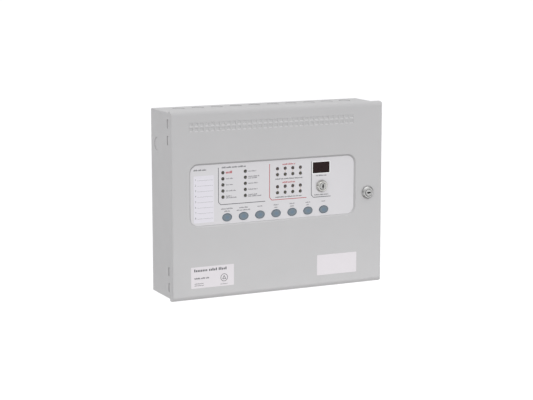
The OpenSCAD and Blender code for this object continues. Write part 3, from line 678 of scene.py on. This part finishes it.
def build_stage():
    """A wide pale floor with a painted shadow, darker right under the panel, and an even sky that brightens
    overhead.
    """
    floor_mesh = bpy.data.meshes.new("floor")
    reach, drop = 40.0, -0.9
    floor_mesh.from_pydata([(-reach, -reach, drop), (reach, -reach, drop),
                            (reach, reach, drop), (-reach, reach, drop)], [], [(0, 1, 2, 3)])
    floor = bpy.data.objects.new("floor", floor_mesh)
    bpy.context.scene.collection.objects.link(floor)
    p = Paint("floor_with_painted_shadow", (0.93, 0.93, 0.935), 0.85)
    away = p.node("ShaderNodeVectorMath", operation="LENGTH")
    p.link(p.where, away.inputs[0])
    pale = p.mixed(p.noise(1.5, 2), (0.92, 0.92, 0.925), (0.94, 0.94, 0.945))
    # Painted shadow: the floor is dark grey within a metre of the middle and fades to pale by 1.9 m.
    p.colour(p.mixed(p.span(away.outputs["Value"], 1.0, 1.9, 0, 1), (0.36, 0.35, 0.345), pale))
    floor_mesh.materials.append(p.material)

    world = bpy.data.worlds.new("studio")
    bpy.context.scene.world = world
    world.use_nodes = True
    tree = world.node_tree
    ground = tree.nodes["Background"]
    where = tree.nodes.new("ShaderNodeTexCoord").outputs["Generated"]
    split = tree.nodes.new("ShaderNodeSeparateXYZ")
    tree.links.new(where, split.inputs[0])
    height = tree.nodes.new("ShaderNodeMapRange")
    height.inputs["From Min"].default_value = -1.0
    tree.links.new(split.outputs["Z"], height.inputs["Value"])
    ramp = tree.nodes.new("ShaderNodeValToRGB")
    elements = ramp.color_ramp.elements
    elements[0].position, elements[0].color = 0.49, (0.7, 0.7, 0.7, 1)
    elements[1].position, elements[1].color = 1.0, (0.94, 0.94, 0.945, 1)
    horizon = elements.new(0.5)
    horizon.color = (0.26, 0.26, 0.262, 1)
    tree.links.new(height.outputs["Result"], ramp.inputs[0])
    across = tree.nodes.new("ShaderNodeMath")
    across.operation = "ABSOLUTE"
    tree.links.new(split.outputs["X"], across.inputs[0])
    sides = tree.nodes.new("ShaderNodeMapRange")
    for key, number in (("From Min", 0.45), ("From Max", 0.95), ("To Min", 1.66), ("To Max", 1.22)):
        sides.inputs[key].default_value = number
    tree.links.new(across.outputs[0], sides.inputs["Value"])
    tree.links.new(ramp.outputs[0], ground.inputs["Color"])
    tree.links.new(sides.outputs["Result"], ground.inputs["Strength"])

    area_light("overhead", (0.1, -0.2, 2.4), (0, 0, 0), (2.4, 1.6), 7)
    area_light("front_left", (-2.4, -2.2, 0.9), (0, 0, 0), (0.8, 1.5), 9)
    area_light("front_low", (0.2, -0.8, -0.38), (0.03, -0.09, -0.1), (1.0, 0.22), 2.1)


# ---- printing on the fascia ----

DIGITS = {
    1: [[(0.2, 0.78), (0.45, 1), (0.45, 0)]],
    2: [[(0.05, 0.8), (0.2, 1), (0.6, 1), (0.7, 0.75), (0.05, 0), (0.75, 0)]],
    3: [[(0.05, 1), (0.7, 1), (0.35, 0.58), (0.7, 0.4), (0.65, 0.08), (0.35, 0), (0.05, 0.12)]],
    4: [[(0.6, 0), (0.6, 1), (0.05, 0.3), (0.8, 0.3)]],
    5: [[(0.7, 1), (0.12, 1), (0.1, 0.58), (0.5, 0.6), (0.72, 0.35), (0.5, 0), (0.05, 0.08)]],
    6: [[(0.65, 0.95), (0.3, 0.9), (0.08, 0.45), (0.2, 0), (0.6, 0), (0.7, 0.3), (0.5, 0.52), (0.12, 0.4)]],
    7: [[(0.05, 1), (0.72, 1), (0.3, 0)]],
    8: [[(0.4, 0.54), (0.1, 0.78), (0.4, 1), (0.7, 0.78), (0.4, 0.54), (0.06, 0.25), (0.4, 0), (0.74, 0.25),
         (0.4, 0.54)]],
}


def digit(bm, value, x, z, h, out, weight=0.18):
    for line in DIGITS[value]:
        stroke(bm, [(x + px * h * 0.75, z + pz * h) for px, pz in line], weight * h, out)


def words(bm, rng, x0, x1, z, h, out=None, letter=1.15):
    """A line of unreadable print: words made of short strokes between x0 and x1."""
    out = FACE if out is None else out
    x, left = x0, rng.randint(4, 8)
    while x + letter * 0.7 < x1:
        if left == 0:
            left = rng.randint(4, 8)
            x += letter * 0.7
            continue
        tall = rng.random() < 0.3
        rise = h * (1.0 if tall else 0.72)
        prism(bm, box_outline(x, x + letter * 0.68, z - h / 2, z - h / 2 + rise * 0.92, letter * 0.12, 2),
              out, out + PRINT_T)
        x += letter
        left -= 1


def centred(bm, rng, x, z, width, h, letter=1.15, out=None):
    words(bm, rng, x - width / 2, x + width / 2, z, h, out, letter)


def print_fascia():
    rng = random.Random(11)
    status = centres("status_lamps")
    fire = centres("zone_fire_lamps")
    fault = centres("zone_fault_lamps")
    col1 = min(x for x, z in status)
    col2 = max(x for x, z in status)
    rows = sorted({round(z, 2) for x, z in status}, reverse=True)
    zone_x = sorted({round(x, 2) for x, z in fire})
    fire_z = sorted({round(z, 2) for x, z in fire}, reverse=True)
    fault_z = sorted({round(z, 2) for x, z in fault}, reverse=True)
    window = middle("display_window")
    switch = middle("keyswitch_body")

    lines = bmesh.new()
    top = rows[0] + 8.5
    stroke(lines, [(col1 - 8, top), (col1 - 8, 3.4), (col1 - 4, -0.7), (-26, -0.7)], 1.05, FACE)
    stroke(lines, [(window[0] - 18.5, top), (window[0] - 18.5, 3.6), (window[0] - 14.5, -0.5), (95.5, -0.5)],
           1.05, FACE)
    finish_piece("fascia_frame_lines", lines, DOOR_BODY, INK_GREY)

    red = bmesh.new()
    stroke(red, [(zone_x[0] - 14.5, top + 0.5), (zone_x[0] - 14.5, 4.8), (zone_x[0] - 10.3, 0.3), (50, 0.3)],
           1.0, FACE)
    zone_mid = (zone_x[0] + zone_x[-1]) / 2
    for z in fire_z:
        centred(red, rng, zone_mid, z + 7, 24, 3.0, 1.35)
    words(red, rng, col1 + 5.4, col1 + 17.0, rows[0] + 0.5, 4.6, letter=2.3)
    finish_piece("fascia_red_print", red, DOOR_BODY, INK_RED)

    grey = bmesh.new()
    words(grey, rng, col1 - 2, col1 + 42, rows[0] + 8.6, 3.0, letter=1.45)
    chart = low("zone_chart_card"), high("zone_chart_card")
    words(grey, rng, chart[0][0], chart[0][0] + 22, chart[1][1] + 9.6, 3.0, letter=1.45)
    for z in fault_z:
        centred(grey, rng, zone_mid, z - 7.2, 50, 2.3, 1.15)
    centred(grey, rng, window[0], window[1] - 13.6, 20, 2.3, 1.15)
    centred(grey, rng, switch[0], switch[1] - 14, 27, 2.3, 1.15)
    finish_piece("fascia_headings", grey, DOOR_BODY, INK_GREY)

    soft = bmesh.new()
    for x, widths in ((col1, ((), (12,), (12,), (19,), (10, 19))),
                      (col2, ((15,), (20, 17), (18,), (17,), (16, 25)))):
        for z, lines_of in zip(rows, widths):
            for i, width in enumerate(lines_of):
                drop = (len(lines_of) - 1) * 1.3 - i * 2.7
                words(soft, rng, x + 5.4, x + 5.4 + width, z + drop, 2.3)
    captions = ((22, 10), (16, 25), (9,), (9, 6), (9, 7), (9, 6), (8,))
    for node, widths in zip(BUTTONS, captions):
        x, z, _ = middle(node)
        for i, width in enumerate(widths):
            centred(soft, rng, x, z + 14.5 - i * 4.1, width, 2.4)
    finish_piece("fascia_captions", soft, DOOR_BODY, INK_SOFT)

    numbers = bmesh.new()
    for z, first in zip(fire_z, (1, 5)):
        for i, x in enumerate(zone_x):
            digit(numbers, first + i, x - 0.6, z - 5.9, 1.9, FACE)
    finish_piece("zone_numbers", numbers, DOOR_BODY, INK_ORANGE)


def print_chart():
    a, b = low("zone_chart_card"), high("zone_chart_card")
    rows = bmesh.new()
    for i in range(8):
        z = b[1] - 7.2 - 8.95 * i
        digit(rows, i + 1, a[0] + 2.4, z - 0.2, 2.5, b[2])
        x = a[0] + 6.2
        while x < b[0] - 2.2:
            dash(rows, x, x + 0.8, z - 0.3, 0.5, b[2])
            x += 1.15
    finish_piece("zone_chart_rows", rows, DOOR_BODY, INK_SOFT)


def print_labels():
    rng = random.Random(5)
    left = sorted(solids("door_labels"), key=lambda s: s[0][0])[0]
    (x0, z0, _), (x1, z1, out) = left
    marks = bmesh.new()
    words(marks, rng, x0 + 5.5, x1 - 11, z1 - 5.4, 5.0, out, 3.0)
    words(marks, rng, x0 + 6, x0 + 33, z1 - 18.6, 2.9, out, 1.5)
    words(marks, rng, x0 + 6, x0 + 22.5, z0 + 7.6, 1.7, out, 1.05)
    words(marks, rng, x0 + 6, x0 + 22.5, z0 + 4.5, 1.7, out, 1.05)
    centred(marks, rng, x1 - 17.5, z0 + 3.6, 13, 1.6, 1.0, out)
    cx, cz = x1 - 17.5, z0 + 14
    ring = [(cx + 6 * math.cos(2 * math.pi * k / 40), cz + 6 * math.sin(2 * math.pi * k / 40))
            for k in range(41)]
    stroke(marks, ring, 0.9, out)
    stroke(marks, [(cx - 2.8, cz - 2.2), (cx, cz + 3.2), (cx + 2.8, cz - 2.2), (cx - 2.8, cz - 2.2)],
           0.9, out)
    finish_piece("rating_label_print", marks, DOOR_BODY, INK_GREY)


# ---- small parts on the door face ----

def lamp_bezels():
    bm = bmesh.new()
    profile = [(2.5, FACE), (2.85, FACE), (2.8, FACE + 0.12), (2.6, FACE + 0.16)]
    for node in LAMP_TINTS:
        for c in centres(node):
            part = bmesh.new()
            closed_ring(part, c, profile, 28)
            merge(bm, part)
    finish_piece("lamp_bezels", bm, DOOR_BODY, BLACK, True)


def window_border():
    """A pale line round the display window, and the window's dark edge inside it."""
    cx, cz, _ = middle("display_window")
    cx, cz = cx - 0.2, cz - 0.3
    half_w, half_h = 15.75, 9.3

    def grown(dx, dz, r):
        return box_outline(cx - half_w - dx, cx + half_w + dx, cz - half_h - dz, cz + half_h + dz, r)

    border = bmesh.new()
    frame_strip(border, grown(1.1, 1.0, 1.2), grown(0, 0, 0.5), FACE, FACE + PRINT_T)
    finish_piece("display_border", border, DOOR_BODY, INK_PALE)
    face = FACE + 0.005
    surround = bmesh.new()
    frame_strip(surround, grown(-0.05, -0.05, 0.5), grown(-2.5, -2.1, 0.5), face, face + PRINT_T)
    finish_piece("display_surround", surround, DOOR_BODY, INK_BLACK)


def frame_strip(bm, outer, inner, out0, out1):
    """A flat frame between two outlines with the same number of corners."""
    rings = [[bm.verts.new(at(x, z, o)) for x, z in outline]
             for outline, o in ((outer, out0), (outer, out1), (inner, out1), (inner, out0))]
    skin(bm, rings + rings[:1], caps=False)


def add_bevels():
    """Small rounded edges on the sharp CAD pieces, so that they catch the light as real ones do."""
    widths = {
        "back_box": 0.25, "battery_left": 0.6, "battery_right": 0.6, "battery_strap": 0.3,
        "chassis_plate": 0.25, "field_terminals": 0.25, "mains_terminal_block": 0.4, "relays": 0.35,
        "main_header": 0.25, "display_header": 0.25, "transformer_core": 0.3, "transformer_coil": 0.8,
        "heatsink": 0.15, "chips": 0.15, "keyswitch_contact_block": 0.4, "lock_cam": 0.2,
        "lock_strike": 0.2, "main_board": 0.12, "display_board": 0.12, "tact_switches": 0.2,
        "keyswitch_nut": 0.3, "lock_nut": 0.3, "seven_segment_display": 0.2, "battery_terminals": 0.1,
        "fascia_overlay": 0.08, "hinge_brackets": 0.15, "keyswitch_plug": 0.18, "lock_plug": 0.18,
        "lock_body": 0.2, "keyswitch_body": 0.2,
    }
    for name, width in widths.items():
        obj = NODES[name]
        weld = obj.modifiers.new("weld", "WELD")
        weld.merge_threshold = 2e-6
        bevel = obj.modifiers.new("bevel", "BEVEL")
        bevel.width = width * MM
        bevel.segments = 2
        bevel.limit_method = "ANGLE"
        bevel.angle_limit = math.radians(40)
        bevel.use_clamp_overlap = True
        bevel.harden_normals = False


# ---- details inside the box and behind the door ----

class Board:
    """Free places on one face of a circuit board, so that small parts don't run into the CAD ones."""

    def __init__(self, board, taken, margin=1.2):
        (x0, z0, _), (x1, z1, _) = low(board), high(board)
        self.area = (x0 + 3, x1 - 3, z0 + 3, z1 - 3)
        self.taken = [(a[0] - margin, b[0] + margin, a[1] - margin, b[1] + margin)
                      for node in taken for a, b in solids(node)]

    def block(self, x0, x1, z0, z1):
        self.taken.append((x0, x1, z0, z1))

    def place(self, rng, w, h, tries=60):
        for _ in range(tries):
            x = rng.uniform(self.area[0] + w / 2, self.area[1] - w / 2)
            z = rng.uniform(self.area[2] + h / 2, self.area[3] - h / 2)
            x, z = round(x / 1.27) * 1.27, round(z / 1.27) * 1.27
            spot = (x - w / 2, x + w / 2, z - h / 2, z + h / 2)
            if all(spot[1] < t[0] or spot[0] > t[1] or spot[3] < t[2] or spot[2] > t[3] for t in self.taken):
                self.taken.append((spot[0] - 0.5, spot[1] + 0.5, spot[2] - 0.5, spot[3] + 0.5))
                return x, z
        return None


def rod(bm, a, b, r, sides=12):
    """A straight round bar between two (x, up, out) points."""
    p, q = at(*a), at(*b)
    t = (q - p).normalized()
    ref = Vector((0, 0, 1)) if abs(t.z) < 0.9 else Vector((1, 0, 0))
    u = t.cross(ref).normalized()
    v = t.cross(u)
    skin(bm, [section(bm, end, u, v, r, sides) for end in (p, q)])


def resistor(bodies, bands, leads, x, z, out, way):
    """Axial resistor lying on the board: a waisted body, three bands and bent leads."""
    level = out + 1.35

    def on(c):
        return (x, z + c, level) if way else (x + c, z, level)

    for a, b, r in ((-3.1, -2.0, 1.15), (-2.0, 2.0, 0.95), (2.0, 3.1, 1.15)):
        rod(bodies, on(a), on(b), r)
    for c in (-1.2, -0.2, 0.8):
        rod(bands, on(c), on(c + 0.45), 1.0)
    for s in (-1, 1):
        far = on(s * 4.6)
        rod(leads, on(s * 3.1), far, 0.28, 6)
        rod(leads, far, (far[0], far[1], out - 0.2), 0.28, 6)


def chip_pins():
    """Legs down both long sides of every chip."""
    bm = bmesh.new()
    board = high("main_board")[2]
    for (x0, z0, _), (x1, z1, _) in solids("chips"):
        small = x1 - x0 < 12
        pitch, wide, level = (1.27, 0.45, board + 1.1) if small else (2.54, 0.6, board + 2.6)
        if small:
            count = int((z1 - z0 - 1.2) / pitch) + 1
            start = (z0 + z1) / 2 - (count - 1) * pitch / 2
            legs = ((-0.1, 0.7, level - 0.2, level), (0.6, 1.5, board, board + 0.2),
                    (0.6, 0.85, board, level))
            for i in range(count):
                z = start + i * pitch
                for edge, s in ((x0, -1), (x1, 1)):
                    for near, far, bottom, top in legs:
                        slab(bm, sorted((edge + s * near, edge + s * far)), (z - wide / 2, z + wide / 2),
                             (bottom, top))
            continue
        count = int((x1 - x0 - 1.5) / pitch) + 1
        start = (x0 + x1) / 2 - (count - 1) * pitch / 2
        for i in range(count):
            x = start + i * pitch
            for edge, s in ((z0, -1), (z1, 1)):
                a, b = sorted((edge - s * 0.05, edge + s * 0.75))
                c, d = sorted((edge + s * 0.5, edge + s * 0.75))
                slab(bm, (x - wide / 2, x + wide / 2), (a, b), (level - 0.3, level))
                slab(bm, (x - wide / 2, x + wide / 2), (c, d), (board, level))
    finish_piece("chip_pins", bm, BOX_BODY, SOLDER)


def lay(bm, turned, along, across, depth, bevel=0.0):
    """A box that runs along x when turned, and upwards otherwise."""
    slab(bm, *((along, across) if turned else (across, along)), depth, bevel)


def fill_board(rng, name, spots, out, outwards, body, count):
    """Scatters chip resistors, ceramic capacitors and solder joints over one face of a board."""
    parts, ends, tan = bmesh.new(), bmesh.new(), bmesh.new()
    depth = sorted((out, out + (0.75 if outwards else -0.75)))
    half_long, half_wide, inset = 1.6, 0.8, 0.45
    for _ in range(count):
        turned = rng.random() < 0.5
        spot = spots.place(rng, *((3.2, 1.6) if turned else (1.6, 3.2)))
        if not spot:
            continue
        mid, side = spot if turned else spot[::-1]
        target = tan if rng.random() < 0.4 else parts
        lay(target, turned, (mid - half_long + inset, mid + half_long - inset),
            (side - half_wide, side + half_wide), depth)
        for e in (-1, 1):
            tip = sorted((mid + e * (half_long - inset), mid + e * (half_long + 0.2)))
            lay(ends, turned, tip, (side - half_wide - 0.1, side + half_wide + 0.1), depth, 0.12)
    finish_piece(name + "_chip_resistors", parts, body, BLACK)
    finish_piece(name + "_chip_capacitors", tan, body, RESISTOR)
    finish_piece(name + "_solder", ends, body, SOLDER)


def dress_main_board():
    rng = random.Random(21)
    out = high("main_board")[2]
    spots = Board("main_board", ["field_terminals", "relays", "chips", "capacitors", "buzzer", "heatsink",
                                 "main_header", "board_screws"], 1.9)
    bodies, bands, leads = bmesh.new(), bmesh.new(), bmesh.new()
    discs = bmesh.new()
    for _ in range(26):
        way = rng.random() < 0.6
        w, h = (2.6, 10) if way else (10, 2.6)
        spot = spots.place(rng, w, h)
        if spot:
            resistor(bodies, bands, leads, spot[0], spot[1], out, way)
    for _ in range(12):
        spot = spots.place(rng, 6, 3)
        if not spot:
            continue
        x, z = spot
        slab(discs, (x - 2.6, x + 2.6), (z - 1.0, z + 1.0), (out + 1.2, out + 6.0), 0.8)
        for s in (-1.9, 1.9):
            rod(leads, (x + s, z, out - 0.2), (x + s, z, out + 1.5), 0.3, 6)
    finish_piece("resistor_bodies", bodies, BOX_BODY, RESISTOR, True)
    finish_piece("resistor_bands", bands, BOX_BODY, INK_RED, True)
    finish_piece("resistor_leads", leads, BOX_BODY, SOLDER, True)
    finish_piece("ceramic_capacitors", discs, BOX_BODY, CERAMIC, True)
    fill_board(rng, "main_board", spots, out, True, BOX_BODY, 90)

    print_white = bmesh.new()
    for node in ("relays", "chips"):
        for (x0, z0, _), (x1, z1, _) in solids(node):
            g = 1.7 if node == "chips" else 0.8
            frame_strip(print_white, box_outline(x0 - g, x1 + g, z0 - g, z1 + g),
                        box_outline(x0 - g + 0.25, x1 + g - 0.25, z0 - g + 0.25, z1 + g - 0.25),
                        out, out + PRINT_T)
    for (x0, z0, _), (x1, z1, _) in solids("field_terminals"):
        if z0 > 50:
            words(print_white, rng, x0 + 1.5, x1 - 1.5, z0 - 2.4, 1.6, out)
    finish_piece("board_legend", print_white, BOX_BODY, INK_PALE)


def dress_display_board():
    """Solder joints, pins and small parts on the back of the display board."""
    rng = random.Random(8)
    back = low("display_board")[2]
    joints = bmesh.new()
    spots = Board("display_board", ["display_board_fixings", "display_header", "keyswitch_body"], 2.4)
    points = []
    for node in LAMP_TINTS:
        for x, z in centres(node):
            points += [(x - 1.27, z), (x + 1.27, z)]
            spots.block(x - 3, x + 3, z - 2, z + 2)
    for x, z in centres("tact_switches"):
        points += [(x + a, z + b) for a in (-2.5, 2.5) for b in (-2.2, 2.2)]
        spots.block(x - 4, x + 4, z - 4, z + 4)
    (x0, z0, _), (x1, z1, _) = low("seven_segment_display"), high("seven_segment_display")
    for k in range(5):
        for z in (z0 + 1.5, z1 - 1.5):
            points.append(((x0 + x1) / 2 + (k - 2) * 2.54, z))
    spots.block(x0 - 1, x1 + 1, z0 - 1, z1 + 1)
    profile = [(0, back + 0.1), (0.95, back + 0.05), (0.85, back - 0.25), (0.35, back - 0.75),
               (0.3, back - 1.2), (0, back - 1.2)]
    for x, z in points:
        part = bmesh.new()
        revolve(part, (x, z), profile, 10)
        merge(joints, part)
    finish_piece("display_board_joints", joints, DOOR_BODY, SOLDER, True)
    drivers, legs = bmesh.new(), bmesh.new()
    for _ in range(4):
        spot = spots.place(rng, 14, 8.5)
        if not spot:
            continue
        x, z = spot
        slab(drivers, (x - 5, x + 5), (z - 1.95, z + 1.95), (back - 1.7, back - 0.15), 0.15)
        for k in range(8):
            px = x + (k - 3.5) * 1.27
            for s in (-1, 1):
                a, b = sorted((z + s * 1.9, z + s * 3.1))
                slab(legs, (px - 0.2, px + 0.2), (a, b), (back - 0.35, back - 0.05))
    finish_piece("display_drivers", drivers, DOOR_BODY, BLACK)
    finish_piece("display_driver_legs", legs, DOOR_BODY, SOLDER)
    fill_board(rng, "display_board", spots, back, False, DOOR_BODY, 60)


def battery_labels():
    rng = random.Random(3)
    plates, marks = bmesh.new(), bmesh.new()
    band = low("battery_strap")[1]
    for node in ("battery_left", "battery_right"):
        (x0, z0, _), (x1, _, out) = low(node), high(node)
        cx = (x0 + x1) / 2
        prism(plates, box_outline(cx - 46, cx + 46, z0 + 7, band - 4, 2), out, out + 0.12)
        top = band - 4
        words(marks, rng, cx - 40, cx - 2, top - 7, 4.4, out + 0.12, 2.6)
        words(marks, rng, cx - 40, cx + 12, top - 14, 2.2, out + 0.12, 1.4)
        words(marks, rng, cx - 40, cx + 4, top - 18, 2.2, out + 0.12, 1.4)
        frame_strip(marks, box_outline(cx + 18, cx + 42, top - 19, top - 5, 1.5),
                    box_outline(cx + 18.7, cx + 41.3, top - 18.3, top - 5.7, 1.2), out + 0.12, out + 0.15)
        for i in range(3):
            words(marks, rng, cx + 21, cx + 38, top - 8.4 - 3.4 * i, 1.8, out + 0.12, 1.2)
    finish_piece("battery_label_plates", plates, BOX_BODY, MATERIALS["label_film"])
    finish_piece("battery_label_print", marks, BOX_BODY, INK_GREY)


def wire_transformer():
    """Primary leads down to the mains block and secondary leads across to a plug on the board."""
    rng = random.Random(4)
    block = low("mains_terminal_block")
    coil = low("transformer_coil")
    brown = plastic("lead_brown", (0.12, 0.04, 0.015), 0.35, 0.3)
    blue = plastic("lead_blue", (0.02, 0.07, 0.35), 0.35, 0.3)
    yellow = plastic("lead_yellow", (0.7, 0.5, 0.03), 0.35, 0.3)
    level = block[2] + 9
    for name, material, x, row in (("primary_lead_brown", brown, 127, 38.5),
                                   ("primary_lead_blue", blue, 120, 25.0)):
        bm = bmesh.new()
        tube(bm, [(x, coil[1] + 1.5, 26), (x, coil[1] - 6, 25), (x + 6, row + 14, 17),
                  (x + 14, row + 2, 15.5), (block[0] - 7, row, level - 1), (block[0] + 1.5, row, level)], 1.2)
        finish_piece(name, bm, BOX_BODY, material, True)
    board = high("main_board")[2]
    plug = bmesh.new()
    px, pz = 49.0, 84.0
    slab(plug, (px - 5, px + 5), (pz - 3, pz + 3), (board, board + 8), 0.4)
    finish_piece("secondary_plug", plug, BOX_BODY, MATERIALS["relay_white"])
    bm = bmesh.new()
    for k, s in enumerate((-1, 1)):
        tube(bm, [(108 + 4 * k, coil[1] + 1.5, 32 + 3 * k), (104 + 4 * k, coil[1] - 7, 32 + 3 * k),
                  (86, 62 + 3 * k, 34 + 2 * k), (68, 68 + 3 * k, 36 + 2 * k),
                  (px + 2.4 * s + 2, pz - 3, board + 15), (px + 2.4 * s, pz, board + 7.5)], 1.0)
    finish_piece("secondary_leads", bm, BOX_BODY, yellow, True)
    core = high("transformer_core")
    cx, cz, _ = middle("transformer_core")
    plate, marks = bmesh.new(), bmesh.new()
    prism(plate, box_outline(cx - 24, cx + 24, cz - 9, cz + 9, 1), core[2], core[2] + 0.12)
    for i, width in enumerate((38, 30, 34, 22)):
        words(marks, rng, cx - 20, cx - 20 + width, cz + 5.6 - 3.6 * i, 2.0, core[2] + 0.12, 1.3)
    finish_piece("transformer_label", plate, BOX_BODY, MATERIALS["label_film"])
    finish_piece("transformer_label_print", marks, BOX_BODY, INK_GREY)


def relay_marks():
    rng = random.Random(9)
    bm = bmesh.new()
    for (x0, _, _), (_, z1, out) in solids("relays"):
        for i, width in enumerate((10, 12, 7)):
            words(bm, rng, x0 + 3.4, x0 + 3.4 + width, z1 - 6.4 - 2.6 * i, 1.6, out, 1.1)
    finish_piece("relay_print", bm, BOX_BODY, INK_GREY)


def keyway_shade_pieces():
    """Painted shade for both keyways: a near-black block just inside each plug face, and a near-black patch
    printed over the key switch's face round its slot, so that the shade turns with the plugs.
    """
    for node, body, upright in (("keyswitch_plug", "keyswitch_rotor", True),
                                ("lock_plug", "lock_rotor", False)):
        cx, cz, _ = middle(node)
        face = high(node)[2]
        bm = bmesh.new()
        w, h = (0.88, 3.75) if upright else (3.4, 0.88)
        # Painted shade: a near-black block inside the slot, where there is only shade.
        prism(bm, box_outline(cx - w, cx + w, cz - h, cz + h), face - 1.6, face - 0.25)
        if upright:
            # Painted shade printed over the plug face round the slot.
            prism(bm, box_outline(cx - 1.2, cx + 1.2, cz - 3.7, cz + 3.7, 1.1), face, face + PRINT_T)
        finish_piece(node + "_keyway_painted_shade", bm, body, KEYWAY_PAINTED_SHADE)


def bent_copy(node):
    """The node's own mesh, copied into a piece of its own that runs from the box to the door; the node is
    hidden.
    """
    source = NODES[node]
    mesh = source.data.copy()
    mesh.transform(source.matrix_world)
    bm = bmesh.new()
    bm.from_mesh(mesh)
    bmesh.ops.remove_doubles(bm, verts=bm.verts, dist=2e-6)
    bm.to_mesh(mesh)
    bm.free()
    obj = bpy.data.objects.new(node + "_flexible", mesh)
    bpy.context.scene.collection.objects.link(obj)
    mesh.shade_smooth()
    mesh.set_sharp_from_angle(angle=math.radians(35))
    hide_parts(node)
    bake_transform(obj)


def flexible_leads():
    bent_copy("ribbon_cable")
    bent_copy("door_earth_lead")


paint_nodes()
place_camera()
build_stage()
print_fascia()
print_chart()
print_labels()
lamp_bezels()
window_border()
chip_pins()
dress_main_board()
dress_display_board()
battery_labels()
wire_transformer()
relay_marks()
keyway_shade_pieces()
flexible_leads()
add_bevels()

bpy.context.scene.view_settings.view_transform = "Standard"
